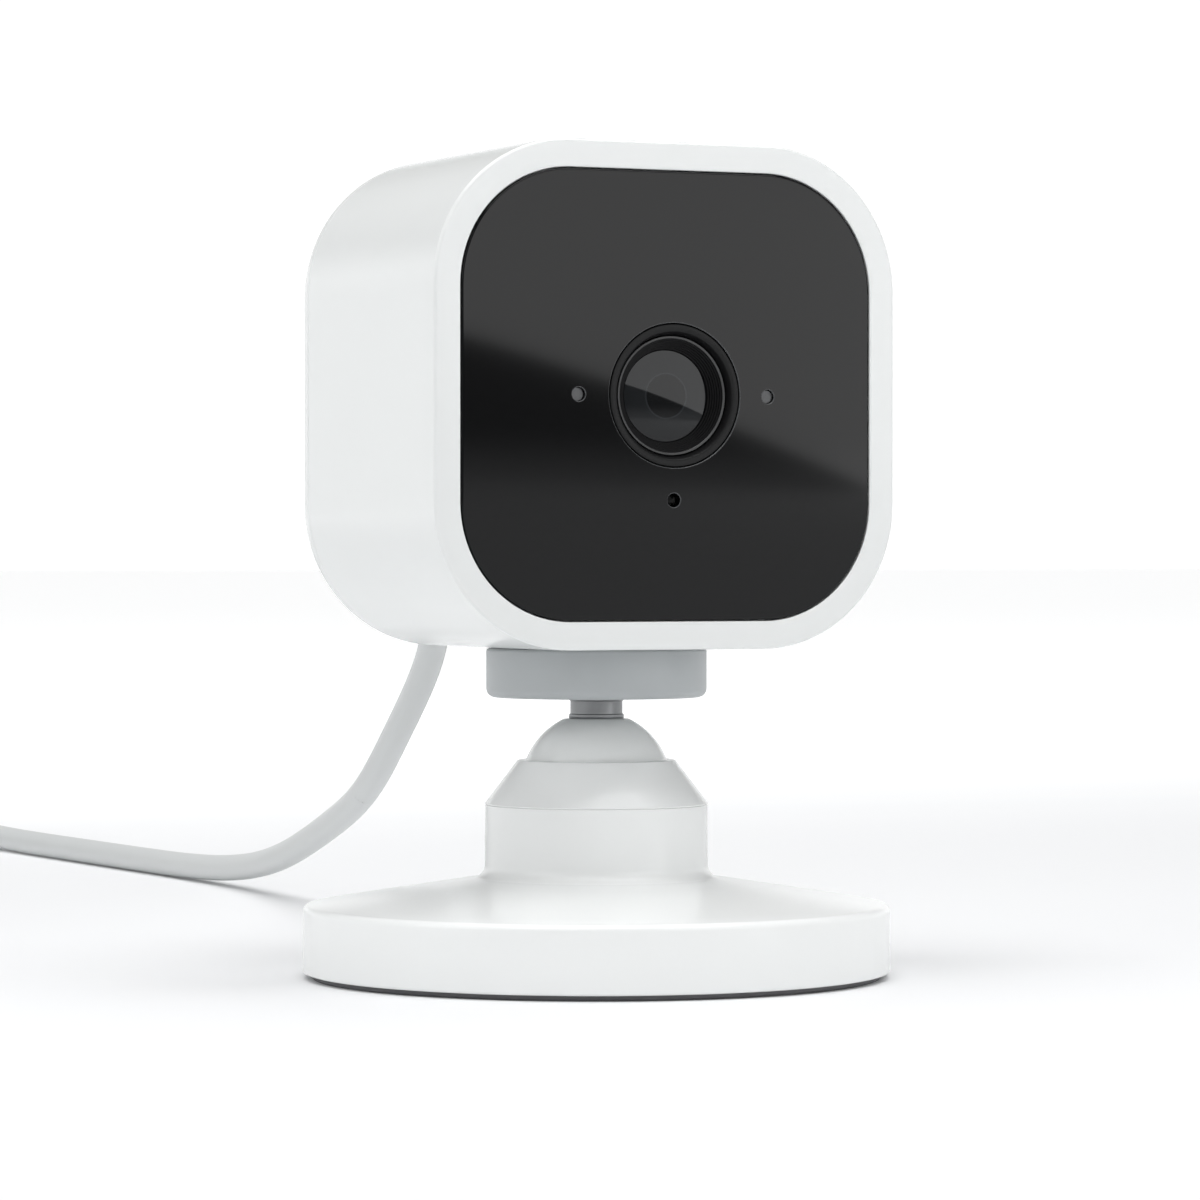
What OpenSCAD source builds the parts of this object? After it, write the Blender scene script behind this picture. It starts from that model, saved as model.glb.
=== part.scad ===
// Plug-in indoor security camera on a ball-jointed desk stand, with its power lead.
// Millimetres, +Z up. The stand's axis is the Z axis, its foot rests on z = 0,
// and the camera looks along -Y.

/* [Housing] */
// Width of the camera housing
housing_w = 50; // [44:1:60]
// Height of the camera housing
housing_h = 49.8; // [44:1:60]
// Depth of the housing from its front rim to its back face
housing_d = 36; // [34:1:46]
// Corner radius of the housing seen from the front
housing_r = 14.4; // [13.5:0.1:17]
// Wall thickness of the housing
wall_t = 1.8; // [1.4:0.1:2.2]
// Rounding of the housing's back edge
back_edge_r = 2.8; // [1.5:0.1:3]
// Distance from the stand's axis forward to the front rim
axis_to_front = 16.9; // [16:0.1:18]
// Width of the white rim around the front panel
rim_w = 2.8; // [2.4:0.1:3.4]
// Depth of the front panel's pocket
pocket_d = 2.2; // [2:0.1:2.8]
// Thickness of the ledge behind the front panel
ledge_t = 1.6; // [1.2:0.1:2]
// Width of the ledge that the panel is glued to
ledge_w = 1.8; // [1.4:0.1:2.4]
// Depth of the rear cover from its parting line
cover_d = 3.4; // [3.2:0.1:5]

/* [Front panel] */
// Thickness of the panel at its edge
panel_edge_t = 1.8; // [1.6:0.1:2]
// Height of the panel's crown over its edge
panel_crown = 1.5; // [0.8:0.1:2]
// Gap between the panel and the rim
panel_gap = 0.12; // [0.08:0.01:0.2]
// Diameter of the two light ports and the microphone port
port_d = 1.36; // [1.2:0.04:1.8]
// Distance from the lens axis to each light port
port_x = 10.25; // [9.8:0.1:12]
// Distance from the lens axis down to the microphone port
mic_drop = 10.25; // [9.5:0.1:12]

/* [Lens] */
// Outer diameter of the lens trim ring
trim_d = 14; // [13:0.1:15]
// Outer diameter of the lens barrel
barrel_d = 11.7; // [10.8:0.1:12]
// Diameter of the glass elements
element_d = 9.1; // [8.4:0.1:9.4]
// Diameter of the hole in the aperture stop
stop_hole_d = 4.5; // [3:0.1:5]
// Diameter of the barrel's threaded tail
thread_d = 9.9; // [9.6:0.1:10.2]

/* [Stand] */
// Diameter of the base disc
base_d = 59.3; // [54:0.1:66]
// Height of the base disc's rim above the table
rim_z = 7.3; // [6.8:0.1:8.5]
// Height of the base disc's top where it meets the column
dome_z = 10; // [9.5:0.1:11]
// Thickness of the rubber foot
foot_t = 0.5; // [0.4:0.1:1]
// Diameter of the column
column_d = 22.5; // [22:0.1:24]
// Height of the top of the column, where the collar starts
column_z = 17.4; // [17:0.1:18]
// Height of the collar's top
collar_z = 21.92; // [21.5:0.02:22.1]
// Outer diameter of the collar's top
collar_top_d = 16.2; // [15.8:0.1:17]
// Thickness of the base shell
shell_t = 1.6; // [1.2:0.1:2]
// Distance between the two wall screws
wall_screw_gap = 30; // [26:1:36]
// Diameter of the wall screw holes
wall_screw_d = 4.2; // [3.6:0.1:5]

/* [Ball joint] */
// Height of the ball's centre above the table
ball_z = 19.2; // [19:0.1:19.6]
// Diameter of the ball
ball_d = 15.24; // [14.8:0.04:15.4]
// Clearance between the faces that slide in the joint
joint_gap = 0.08; // [0.05:0.01:0.1]
// Thickness of the friction pad under the ball
pad_t = 0.7; // [0.5:0.1:0.9]
// Diameter of the flat on top of the ball
flat_d = 6.44; // [6:0.1:8]
// Diameter of the stem
stem_d = 5.56; // [4.8:0.1:5.8]
// Diameter of the puck under the housing
puck_d = 22.3; // [20:0.1:23]
// Height of the puck
puck_h = 5.1; // [4.4:0.1:6]
// Length of stem between the ball and the puck
stem_len = 2.1; // [2:0.1:3]

/* [Power lead] */
// Diameter of the power lead
cord_d = 3.3; // [3:0.1:3.6]
// Height of the micro-USB port above the bottom of the housing
port_z = 10.2; // [9:0.1:12]
// Length of the plug's moulded grip
grip_l = 12; // [10:0.5:16]
// Width of the plug's moulded grip
grip_w = 10.8; // [9.6:0.1:11]
// Height of the plug's moulded grip
grip_h = 7; // [6:0.1:7.2]
// Diameter of the reset button
button_d = 3; // [2.6:0.1:3.4]
// Travel of the reset button
button_travel = 0.4; // [0.3:0.05:0.5]

/* [Hidden] */
$fn = 96;
cut = 0.5;                                   // how far a cut runs past the face it opens
fit_gap = 0.1;                               // gap between parts that are assembled, not worked

// Housing, from the top of the puck up
half_w = housing_w / 2;
half_h = housing_h / 2;
ball_r = ball_d / 2;
flat_z = ball_z + sqrt(pow(ball_r, 2) - pow(flat_d / 2, 2));
puck_z = flat_z + stem_len;
floor_z = puck_z + puck_h;
lens_z = floor_z + half_h;
front_y = -axis_to_front;
back_y = front_y + housing_d;
seam_y = back_y - cover_d;
ledge_y = front_y + pocket_d;
inside_y = ledge_y + ledge_t;
cover_in_y = back_y - wall_t;
corner_x = half_w - housing_r;               // centre of the round corners
corner_z = half_h - housing_r;

// Front panel
pocket_inset = rim_w;
panel_w = housing_w - 2 * (rim_w + panel_gap);
panel_h = housing_h - 2 * (rim_w + panel_gap);
panel_r = housing_r - rim_w - panel_gap;
panel_back_y = front_y + panel_edge_t + 0.1; // its edge stands just below the rim
crown_y = front_y - panel_crown;             // foremost point of the panel
crown_r = (pow(panel_w / 2, 2) + pow(panel_crown, 2)) / (2 * panel_crown);
function panel_y(r) = crown_y + crown_r - sqrt(pow(crown_r, 2) - pow(r, 2));

// Boards and the bosses that carry them
board_t = 1.2;
led_board_y = inside_y + 1;                  // back face of the front board
main_board_y = inside_y + 10.1;              // front face of the main board
boss_r = 2.6;
boss_reach = 10.4 / sqrt(2);                 // from a corner's centre out to its boss
boss_x = corner_x + boss_reach;
boss_z = corner_z + boss_reach;
pilot_r = 0.85;
pilot_l = 6;
spreader_w = 31;
spreader_t = 1;
chip_t = 1.2;
pad_gap_t = 0.5;                             // thickness of the thermal pad
screw_head_r = 2.4;                          // of the screw that holds the puck
screw_head_h = 1.5;

// Lens stack, measured back from the panel's crown
trim_r = trim_d / 2;
barrel_r = barrel_d / 2;
element_r = element_d / 2;
thread_r = thread_d / 2;
barrel_y = crown_y + 0.9;
glass_y = crown_y + 2.4;                     // rim of the front element
front_lens_t = 1.8;
stop_t = 0.3;
rear_lens_t = 2.1;
stop_y = glass_y + front_lens_t + fit_gap;
rear_lens_y = stop_y + stop_t + fit_gap;
holder_w = 14;
holder_y = main_board_y - 6;
tail_y = main_board_y - 2.6;                 // back end of the barrel

// Back of the camera
usb_z = floor_z + port_z;
usb_board_z = usb_z - 1.4;                   // top of the power board
usb_board_t = 1;
usb_board_w = 31.2;
usb_board_l = 11.6;
rail_w = 1.6;
rail_grip = 0.6;                             // how far a rail reaches over the board's edge
recess_d = 1.2;
grip_y = back_y - recess_d + 0.2;
boot_l = 9;
boot_y = grip_y + grip_l;
exit_y = boot_y + boot_l;
button_x = -12.5;
speaker_z = lens_z + 8;
speaker_r = 8.5;
speaker_t = 3.8;

// Stand and joint
base_r = base_d / 2;
column_r = column_d / 2;
shelf_z = 8.6;                               // top of the web under the ball's seat
shelf_t = 1.7;
plate_r = base_r - shell_t - 0.4;
plate_t = 2.4;
seat_r = 9.6;
collar_skirt_r = 10.15;
collar_skirt_l = 3.4;
bowl_r = ball_r + joint_gap + pad_t + joint_gap;
seat_top_z = column_z - 0.4;
washer_t = 0.6;
seat_z = shelf_z + washer_t;
pad_half_angle = 28;

// Power lead: the points that shape its centre line, chosen by hand. It leaves the boot,
// droops to the table, runs back along it and ends where its coil starts.
cord_route = [
    [0, exit_y, usb_z], [0, exit_y + 7, usb_z], [5, 54, 40.5], [8.5, 60, 32.5],
    [7, 69, 22.5], [8.5, 82, 14.5], [10.3, 98, 10.2], [12.4, 116, 5.8], [14.5, 134, 3],
    [15, 152, 1.8], [14.5, 170, 1.7], [14, 188, 1.7], [13.5, 206, 1.7], [13, 224, 1.7],
    [13, 245, 2]
];
hang_spans = 6;                              // spans of the route that hang from the camera
tail_route = [
    [-35.8, 262, 12.1], [-35.9, 252, 11.9], [-36.2, 243, 10.6], [-36.8, 234, 8.2],
    [-37.3, 225, 5.7], [-37.5, 217, 4], [-37.5, 212, 4]
];
cord_r = cord_d / 2;
cord_sides = 8;
coil_x = -11.4;
coil_y = 258;
coil_z = 0.5;                                // the tie's band passes under the coil
coil_mid_r = 19.45;                          // 12 lead diameters across at mid-turn
coil_rows = 4;
tie_t = 0.5;
tie_w = 4;
supply_boot_l = 9;
supply_grip_l = 20;
supply_grip_w = 15.4;
supply_grip_h = 8;
supply_shell_l = 12;
supply_shell_w = 12;
supply_shell_h = 4.5;
supply_y = 212;                              // where the lead enters the far plug
supply_x = -37.5;

// ---- shapes that repeat ----

// Rectangle with exact round corners, centred
module rounded(w, h, r) {
    square([w - 2 * r, h], center = true);
    square([w, h - 2 * r], center = true);
    for (x = [-1, 1], z = [-1, 1])
        translate([x * (w / 2 - r), z * (h / 2 - r)]) circle(r);
}

// A 2D outline seen from the front, extruded backwards from y0 to y1 at height z
module slab(y0, y1, z = lens_z, x = 0) {
    translate([x, y1, z]) rotate([90, 0, 0]) linear_extrude(y1 - y0) children();
}

// A shape turned about the lens axis: its outline gives radius and depth
module turned(x = 0, z = lens_z) {
    translate([x, 0, z]) rotate([-90, 0, 0]) rotate_extrude() children();
}

// Annulus about an axis that runs front to back
module collar_ring(r_out, r_in, y0, y1, x = 0, z = lens_z) {
    turned(x, z) translate([r_in, y0]) square([r_out - r_in, y1 - y0]);
}

module at_bosses() {
    for (x = [-1, 1], z = [-1, 1])
        translate([x * boss_x, 0, lens_z + z * boss_z]) children();
}

// Round bar along Y
module bar(r, y0, y1) {
    translate([0, y0, 0]) rotate([-90, 0, 0]) cylinder(r = r, h = y1 - y0);
}

// Point t of the way along span i of the smooth curve that hand-chosen points shape
function near(p, i) = i < 0 ? 2 * p[0] - p[1]
    : i < len(p) ? p[i] : 2 * p[len(p) - 1] - p[len(p) - 2];
function along(p, i, t) = (pow(1 - t, 3) * near(p, i - 1)
    + (3 * t * t * t - 6 * t * t + 4) * near(p, i)
    + (3 * t + 3 * t * t - 3 * t * t * t + 1) * near(p, i + 1)
    + t * t * t * near(p, i + 2)) / 6;
function smooth(p, n) = concat(
    [for (i = [0 : len(p) - 2], k = [0 : n - 1]) along(p, i, k / n)], [p[len(p) - 1]]);
function unit(v) = v / norm(v);
function heading(p, i) = unit(p[min(i + 1, len(p) - 1)] - p[max(i - 1, 0)]);
// One ring of the tube, square to the route
function ring_at(p, i) = let (
        t = heading(p, i), s = unit(cross(t, [0, 0, 1])), u = cross(s, t))
    [for (k = [0 : cord_sides - 1]) let (a = 360 * (k + 0.5) / cord_sides)
        p[i] + cord_r * (cos(a) * s + sin(a) * u)];

// The lead's surface along a route, from one of its spans to another
module tube(route, from, to) {
    p = smooth(route, 2);
    n = 2 * (to - from) + 1;
    m = cord_sides;
    points = [for (i = [0 : n - 1]) each ring_at(p, 2 * from + i)];
    sides = [for (i = [0 : n - 2], k = [0 : m - 1]) each [
        [i * m + k, i * m + (k + 1) % m, (i + 1) * m + k],
        [i * m + (k + 1) % m, (i + 1) * m + (k + 1) % m, (i + 1) * m + k]]];
    ends = [[for (k = [m - 1 : -1 : 0]) k], [for (k = [0 : m - 1]) (n - 1) * m + k]];
    polyhedron(points, concat(sides, ends), convexity = 4);
}

// ---- stand ----

module base_cover() color("white") difference() {
    rotate_extrude() polygon([
        [0, shelf_z - shelf_t], [seat_r + fit_gap, shelf_z - shelf_t],
        [column_r, dome_z - shell_t - 0.3], [base_r - shell_t, rim_z - shell_t],
        [base_r - shell_t, foot_t], [base_r, foot_t], [base_r, rim_z - 0.4],
        [base_r - 0.4, rim_z], [column_r + 1.1, dome_z], [column_r + 0.3, dome_z + 0.3],
        [column_r, dome_z + 1.1], [column_r, column_z],
        [collar_skirt_r + fit_gap, column_z],
        [collar_skirt_r + fit_gap, column_z - collar_skirt_l - fit_gap],
        [seat_r + fit_gap, column_z - collar_skirt_l - fit_gap],
        [seat_r + fit_gap, shelf_z], [0, shelf_z]
    ]);
    translate([0, 0, shelf_z - shelf_t - cut]) cylinder(r = 3, h = shelf_t + 2 * cut);
}

// Snaps into the column over the ball and keeps it in
module socket_collar() color("white") difference() {
    rotate_extrude() polygon([
        [seat_r + joint_gap, column_z - collar_skirt_l],
        [collar_skirt_r, column_z - collar_skirt_l], [collar_skirt_r, column_z],
        [column_r, column_z], [collar_top_d / 2, collar_z - 0.15],
        [collar_top_d / 2 - 0.15, collar_z], [1, collar_z], [1, seat_top_z + fit_gap],
        [seat_r + joint_gap, seat_top_z + fit_gap]
    ]);
    translate([0, 0, ball_z]) sphere(ball_r + joint_gap);
}

// Presses the seat up against the ball
module spring_washer() color("silver") translate([0, 0, shelf_z]) difference() {
    cylinder(r = seat_r - 0.6, h = washer_t);
    translate([0, 0, -cut]) cylinder(r = 6, h = washer_t + 2 * cut);
}

module mount_plate() color("dimgray") difference() {
    union() {
        translate([0, 0, foot_t]) cylinder(r = plate_r, h = plate_t);
        translate([0, 0, foot_t + plate_t]) difference() {
            cylinder(r = plate_r - 1.4, h = 1.6);
            translate([0, 0, -cut]) cylinder(r = plate_r - 2.8, h = 1.6 + 2 * cut);
        }
    }
    for (side = [-1, 1])
        translate([side * wall_screw_gap / 2, 0, foot_t - cut])
            cylinder(d = wall_screw_d, h = plate_t + 2 * cut);
}

module foot_pad() color("black") difference() {
    cylinder(r = base_r - 0.8, h = foot_t);
    translate([0, 0, -cut]) cylinder(r = 21, h = foot_t + 2 * cut);
}

// ---- ball joint ----

module ball_seat() color("ivory") difference() {
    translate([0, 0, seat_z]) cylinder(r = seat_r, h = seat_top_z - seat_z);
    translate([0, 0, ball_z]) sphere(bowl_r);
}

module friction_pad() color("saddlebrown") translate([0, 0, ball_z])
    rotate_extrude() intersection() {
        difference() {
            circle(ball_r + joint_gap + pad_t);
            circle(ball_r + joint_gap);
        }
        polygon([[0, 0], [0, -2 * ball_r],
            [2 * ball_r * tan(pad_half_angle), -2 * ball_r]]);
    }

module ball() color("white") difference() {
    translate([0, 0, ball_z]) intersection() {
        sphere(ball_r);
        translate([0, 0, flat_z - ball_z - 3 * ball_r]) cylinder(r = 2 * ball_r, h = 3 * ball_r);
    }
    translate([0, 0, ball_z - 2]) cylinder(d = stem_d - 1.5, h = ball_d);
}

module stem() color("lightgray") difference() {
    union() {
        translate([0, 0, ball_z - 2]) cylinder(d = stem_d - 1.5, h = flat_z - ball_z + 2);
        translate([0, 0, flat_z]) cylinder(d = stem_d, h = stem_len + 1.5);
    }
    translate([0, 0, puck_z - 4]) cylinder(r = 1.2, h = 6);
}

module puck() color("gainsboro") difference() {
    rotate_extrude() polygon([
        [0, puck_z], [puck_d / 2 - 0.5, puck_z], [puck_d / 2 - 0.15, puck_z + 0.15],
        [puck_d / 2, puck_z + 0.5], [puck_d / 2, floor_z - 0.9],
        [puck_d / 2 - 0.25, floor_z - 0.25], [puck_d / 2 - 0.9, floor_z], [0, floor_z]
    ]);
    translate([0, 0, puck_z - cut]) cylinder(d = stem_d + 0.02, h = 1.5 + cut);
    translate([0, 0, puck_z]) cylinder(r = 1.3, h = puck_h + cut);
    translate([0, 0, puck_z + 1.8]) difference() {
        cylinder(r = puck_d / 2 - 1.8, h = puck_h);
        translate([0, 0, -cut]) cylinder(r = 4.4, h = puck_h + 2 * cut);
    }
}

// Holds the housing on the stem from inside
module puck_screw() color("silver") union() {
    translate([0, 0, floor_z + wall_t]) cylinder(r = screw_head_r, h = screw_head_h);
    translate([0, 0, puck_z - 3.5]) cylinder(r = 1.15, h = puck_h + wall_t + 3.5);
}

// ---- housing ----

module front_housing() color("white") difference() {
    union() {
        difference() {
            slab(front_y, seam_y) rounded(housing_w, housing_h, housing_r);
            slab(front_y - cut, ledge_y)
                rounded(housing_w - 2 * rim_w, housing_h - 2 * rim_w, housing_r - rim_w);
            slab(front_y - cut, inside_y + cut)
                rounded(housing_w - 2 * (rim_w + ledge_w), housing_h - 2 * (rim_w + ledge_w),
                    housing_r - rim_w - ledge_w);
            slab(inside_y, seam_y + cut)
                rounded(housing_w - 2 * wall_t, housing_h - 2 * wall_t, housing_r - wall_t);
        }
        intersection() {
            at_bosses() bar(boss_r, inside_y - 0.2, main_board_y);
            slab(inside_y - 0.2, main_board_y)
                rounded(housing_w - wall_t, housing_h - wall_t, housing_r - wall_t / 2);
        }
    }
    at_bosses() bar(pilot_r, main_board_y - pilot_l, main_board_y + cut);
    translate([0, 0, floor_z - cut]) cylinder(r = 1.3, h = wall_t + 2 * cut);
}

// Outline of the cover's half section: reach out from its centre against depth
module edge_profile(reach) {
    translate([0, seam_y]) square([reach, cover_d - back_edge_r]);
    translate([0, seam_y]) square([reach - back_edge_r, cover_d]);
    translate([reach - back_edge_r, back_y - back_edge_r]) circle(back_edge_r);
}

// Solid with the housing's outline and a rounded back edge
module rounded_back() {
    for (x = [-1, 1], z = [-1, 1])
        turned(x * corner_x, lens_z + z * corner_z) intersection() {
            edge_profile(housing_r);
            translate([0, seam_y]) square([housing_r, cover_d]);
        }
    for (side = [0, 180]) translate([0, 0, lens_z]) {
        rotate([0, side, 0]) translate([0, 0, -corner_z]) linear_extrude(2 * corner_z)
            intersection() {
                edge_profile(half_w);
                translate([0, seam_y]) square([half_w, cover_d]);
            }
        rotate([0, side + 90, 0]) translate([0, 0, -corner_x]) linear_extrude(2 * corner_x)
            intersection() {
                edge_profile(half_h);
                translate([0, seam_y]) square([half_h, cover_d]);
            }
    }
}

module rear_cover() color("white") difference() {
    union() {
        difference() {
            rounded_back($fn = 48);
            slab(seam_y - cut, cover_in_y)
                rounded(housing_w - 2 * back_edge_r, housing_h - 2 * back_edge_r,
                    housing_r - back_edge_r);
        }
        difference() {                       // lip that locates in the housing
            slab(seam_y - 2, seam_y + 0.8)
                rounded(housing_w - 2 * wall_t - 2 * fit_gap, housing_h - 2 * wall_t - 2 * fit_gap,
                    housing_r - wall_t - fit_gap);
            slab(seam_y - 2 - cut, seam_y + 0.8 + cut)
                rounded(housing_w - 4 * wall_t, housing_h - 4 * wall_t, housing_r - 2 * wall_t);
        }
        collar_ring(speaker_r + 1.1, speaker_r + fit_gap, cover_in_y - 3.6, cover_in_y + 0.2,
            z = speaker_z);
        for (side = [-1, 1])                 // grooved rails that hold the power board
            translate([side * (usb_board_w / 2 - rail_grip + rail_w / 2) - rail_w / 2,
                cover_in_y - 8, usb_board_z - usb_board_t - 1]) cube([rail_w, 8.2, usb_board_t + 2]);
    }
    translate([-usb_board_w / 2 - 0.05, cover_in_y - 8 - cut, usb_board_z - usb_board_t - 0.05])
        cube([usb_board_w + 0.1, 7.7 + cut, usb_board_t + 0.1]);
    slab(back_y - recess_d, back_y + cut, usb_z) rounded(grip_w + 0.5, grip_h + 0.5, 2);
    slab(cover_in_y - cut, back_y, usb_z) rounded(8, 3.2, 0.8);
    translate([button_x, 0, usb_z]) bar(button_d / 2 + 0.06, cover_in_y - cut, back_y + cut);
    for (ring = [0 : 2], i = [0 : max(6 * ring - 1, 0)]) {
        a = ring == 0 ? 0 : 360 * i / (6 * ring);
        translate([2.5 * ring * cos(a), 0, speaker_z + 2.5 * ring * sin(a)])
            bar(0.6, cover_in_y - cut, back_y + cut, $fn = 24);
    }
}

// ---- front panel and lens ----

module front_panel() color([0.03, 0.03, 0.035]) difference() {
    intersection() {
        slab(crown_y - 1, panel_back_y) rounded(panel_w, panel_h, panel_r);
        turned() intersection() {
            translate([0, crown_y]) square([panel_w, panel_back_y - crown_y + cut]);
            translate([0, crown_y + crown_r]) circle(crown_r, $fn = 1440);
        }
    }
    translate([0, 0, lens_z]) bar(trim_r + 0.08, crown_y - 2, panel_back_y + cut);
    for (x = [-port_x, port_x])
        translate([x, 0, lens_z]) bar(port_d / 2, crown_y - 2, panel_back_y + cut);
    translate([0, 0, lens_z - mic_drop]) bar(port_d / 2, crown_y - 2, panel_back_y + cut);
}

module panel_gasket() color("dimgray") difference() {
    slab(panel_back_y, ledge_y) rounded(panel_w - 0.2, panel_h - 0.2, panel_r - 0.1);
    slab(panel_back_y - cut, ledge_y + cut)
        rounded(panel_w - 2 * ledge_w + 0.2, panel_h - 2 * ledge_w + 0.2, panel_r - ledge_w);
}

module lens_trim() color([0.1, 0.1, 0.11]) turned() polygon([
    [trim_r - 0.1, panel_y(trim_r) - 0.05], [trim_r, panel_y(trim_r) + 0.1],
    [trim_r, panel_back_y + 0.05], [trim_r + 1, panel_back_y + 0.05],
    [trim_r + 1, panel_back_y + 0.8], [barrel_r + fit_gap, panel_back_y + 0.8],
    [barrel_r + fit_gap, barrel_y]
]);

module lens_barrel() color([0.06, 0.06, 0.065]) turned() polygon([
    [barrel_r - 0.6, barrel_y], [barrel_r, barrel_y + 0.1], [barrel_r, holder_y - 0.2],
    [thread_r, holder_y - 0.2], [thread_r, tail_y], [thread_r - 1.2, tail_y],
    [thread_r - 1.2, rear_lens_y + rear_lens_t + fit_gap],
    [element_r + 0.05, rear_lens_y + rear_lens_t + fit_gap],
    [element_r + 0.05, glass_y], [element_r + 0.15, glass_y - 0.1]
]);

// Glass disc with one or two crowned faces
module lens_disc(y0, t, bulge) turned() difference() {
    translate([0, y0 - bulge]) square([element_r, t + bulge]);
    difference() {
        translate([0, y0 - bulge - cut]) square([element_r + cut, bulge + cut]);
        translate([0, y0 - bulge + (pow(element_r, 2) + pow(bulge, 2)) / (2 * bulge)])
            circle((pow(element_r, 2) + pow(bulge, 2)) / (2 * bulge), $fn = 1440);
    }
}

module front_lens() color([0.25, 0.3, 0.35, 0.5]) lens_disc(glass_y, front_lens_t, 0.6);

module aperture_stop() color("black")
    collar_ring(element_r, stop_hole_d / 2, stop_y, stop_y + stop_t);

module rear_lens() color([0.25, 0.3, 0.35, 0.5]) lens_disc(rear_lens_y + 0.1, rear_lens_t - 0.1, 0.1);

module lens_holder() color([0.08, 0.08, 0.08]) difference() {
    slab(holder_y, main_board_y) rounded(holder_w, holder_w, 1.5);
    translate([0, 0, lens_z]) bar(thread_r + 0.02, holder_y - cut, tail_y);
    slab(tail_y - 0.1, main_board_y + cut) rounded(holder_w - 3, holder_w - 3, 1);
}

module ir_filter() color([0.6, 0.3, 0.3, 0.6])
    slab(tail_y + 0.1, tail_y + 0.5) square(9.6, center = true);

module image_sensor() color("darkgreen")
    slab(main_board_y - 1, main_board_y) square([7, 6], center = true);

// ---- boards and electronics ----

module led_board() color("darkgreen") difference() {
    slab(inside_y, led_board_y)
        rounded(housing_w - 2 * wall_t - 1.4, housing_h - 2 * wall_t - 1.4, housing_r - wall_t - 0.7);
    translate([0, 0, lens_z]) bar(barrel_r + 0.6, inside_y - cut, led_board_y + cut);
    at_bosses() bar(boss_r + 0.3, inside_y - cut, led_board_y + cut);
}

module ir_leds() color([0.2, 0.15, 0.3]) for (x = [-9, 9]) {
    slab(inside_y - 0.8, inside_y, lens_z + 12, x) square(3, center = true);
    translate([x, 0, lens_z + 12]) bar(1.2, inside_y - 1.2, inside_y - 0.8);
}

module status_led() color("lightblue")
    slab(inside_y - 0.6, inside_y, lens_z, -port_x) square([1.6, 0.8], center = true);

module light_sensor() color("gray")
    slab(inside_y - 0.6, inside_y, lens_z, port_x) square([2, 1.6], center = true);

// Clear rod that fills a port, with a shoulder behind the panel
module light_pipe(x) turned(x) polygon([
    [0, panel_y(port_x) + 0.4], [port_d / 2 - 0.05, panel_y(port_x) + 0.4],
    [port_d / 2 - 0.05, panel_back_y + 0.05], [1.3, panel_back_y + 0.05],
    [1.3, panel_back_y + 0.7], [0, panel_back_y + 0.7]
]);

module status_light_pipe() color("whitesmoke") light_pipe(-port_x);

module sensor_light_pipe() color("whitesmoke") light_pipe(port_x);

module microphone() color("silver")
    slab(inside_y - 1, inside_y, lens_z - mic_drop) square([3.8, 3], center = true);

module mic_boot() color("black")
    collar_ring(1.8, port_d / 2 + 0.1, panel_back_y, inside_y - 1, z = lens_z - mic_drop);

module main_board() color("darkgreen") difference() {
    slab(main_board_y, main_board_y + board_t)
        rounded(housing_w - 2 * wall_t - 1, housing_h - 2 * wall_t - 1, housing_r - wall_t - 0.5);
    at_bosses() bar(0.95, main_board_y - cut, main_board_y + board_t + cut);
    translate([0, 0, floor_z]) cylinder(r = screw_head_r + 0.4, h = wall_t + screw_head_h + 0.4);
}

module processor() color("black")
    slab(main_board_y + board_t, main_board_y + board_t + chip_t, lens_z + 5, -6)
        square(12, center = true);

module shield_can() color("silver")
    slab(main_board_y + board_t, main_board_y + board_t + 1.5, lens_z + 5, 9)
        square([14, 12], center = true);

module antenna() color("goldenrod")
    translate([-10, 2, floor_z + housing_h - wall_t - 0.3]) cube([20, 6, 0.3]);

module thermal_pad() color("lightsteelblue")
    slab(main_board_y + board_t + chip_t, main_board_y + board_t + chip_t + pad_gap_t,
        lens_z + 5, -6) square(12, center = true);

module heat_spreader() color("silver") {
    y = main_board_y + board_t + chip_t + pad_gap_t;
    slab(y, y + spreader_t) rounded(spreader_w, spreader_w, 2);
}

module board_screws() color("silver") at_bosses() {
    bar(1.6, main_board_y + board_t, main_board_y + board_t + 0.9);
    bar(0.8, main_board_y - pilot_l + 1, main_board_y + board_t);
}

module power_board() color("darkgreen")
    translate([-usb_board_w / 2, cover_in_y - 13, usb_board_z - usb_board_t])
        cube([usb_board_w, usb_board_l, usb_board_t]);

module usb_receptacle() color("silver") difference() {
    slab(cover_in_y - 6, cover_in_y - 0.3, usb_z) rounded(7.7, 2.8, 0.5);
    slab(cover_in_y - 5.6, cover_in_y, usb_z) rounded(7, 2.1, 0.3);
}

module reset_switch() color("black") union() {
    slab(cover_in_y - 6, cover_in_y - 2.8, usb_z - 0.2, button_x) square([4.4, 2.4], center = true);
    slab(cover_in_y - 2.8, cover_in_y - 2.2, usb_z, button_x) square([1.6, 1.2], center = true);
}

module reset_button() color("gainsboro") translate([button_x, 0, usb_z]) {
    flange_y = cover_in_y - 0.6 - fit_gap;
    bar(button_d / 2, flange_y, back_y - 0.3);
    bar(button_d / 2 + 0.8, flange_y, flange_y + 0.6);
    bar(0.8, cover_in_y - 2.2 + button_travel + fit_gap, flange_y);
}

module speaker() color("dimgray") union() {
    translate([0, 0, speaker_z]) bar(speaker_r, cover_in_y - 0.8 - speaker_t, cover_in_y - 0.8);
    translate([0, 0, speaker_z]) bar(5, cover_in_y - 2.2 - speaker_t, cover_in_y - 0.8 - speaker_t);
}

module speaker_gasket() color("black")
    collar_ring(speaker_r, speaker_r - 1.5, cover_in_y - 0.8, cover_in_y, z = speaker_z);

// ---- power lead ----

module usb_shell() color("silver")
    slab(cover_in_y - 5, grip_y, usb_z) rounded(6.8, 1.9, 0.3);

module plug_grip() color("white")
    slab(grip_y, boot_y, usb_z) rounded(grip_w, grip_h, 1.8);

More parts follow.
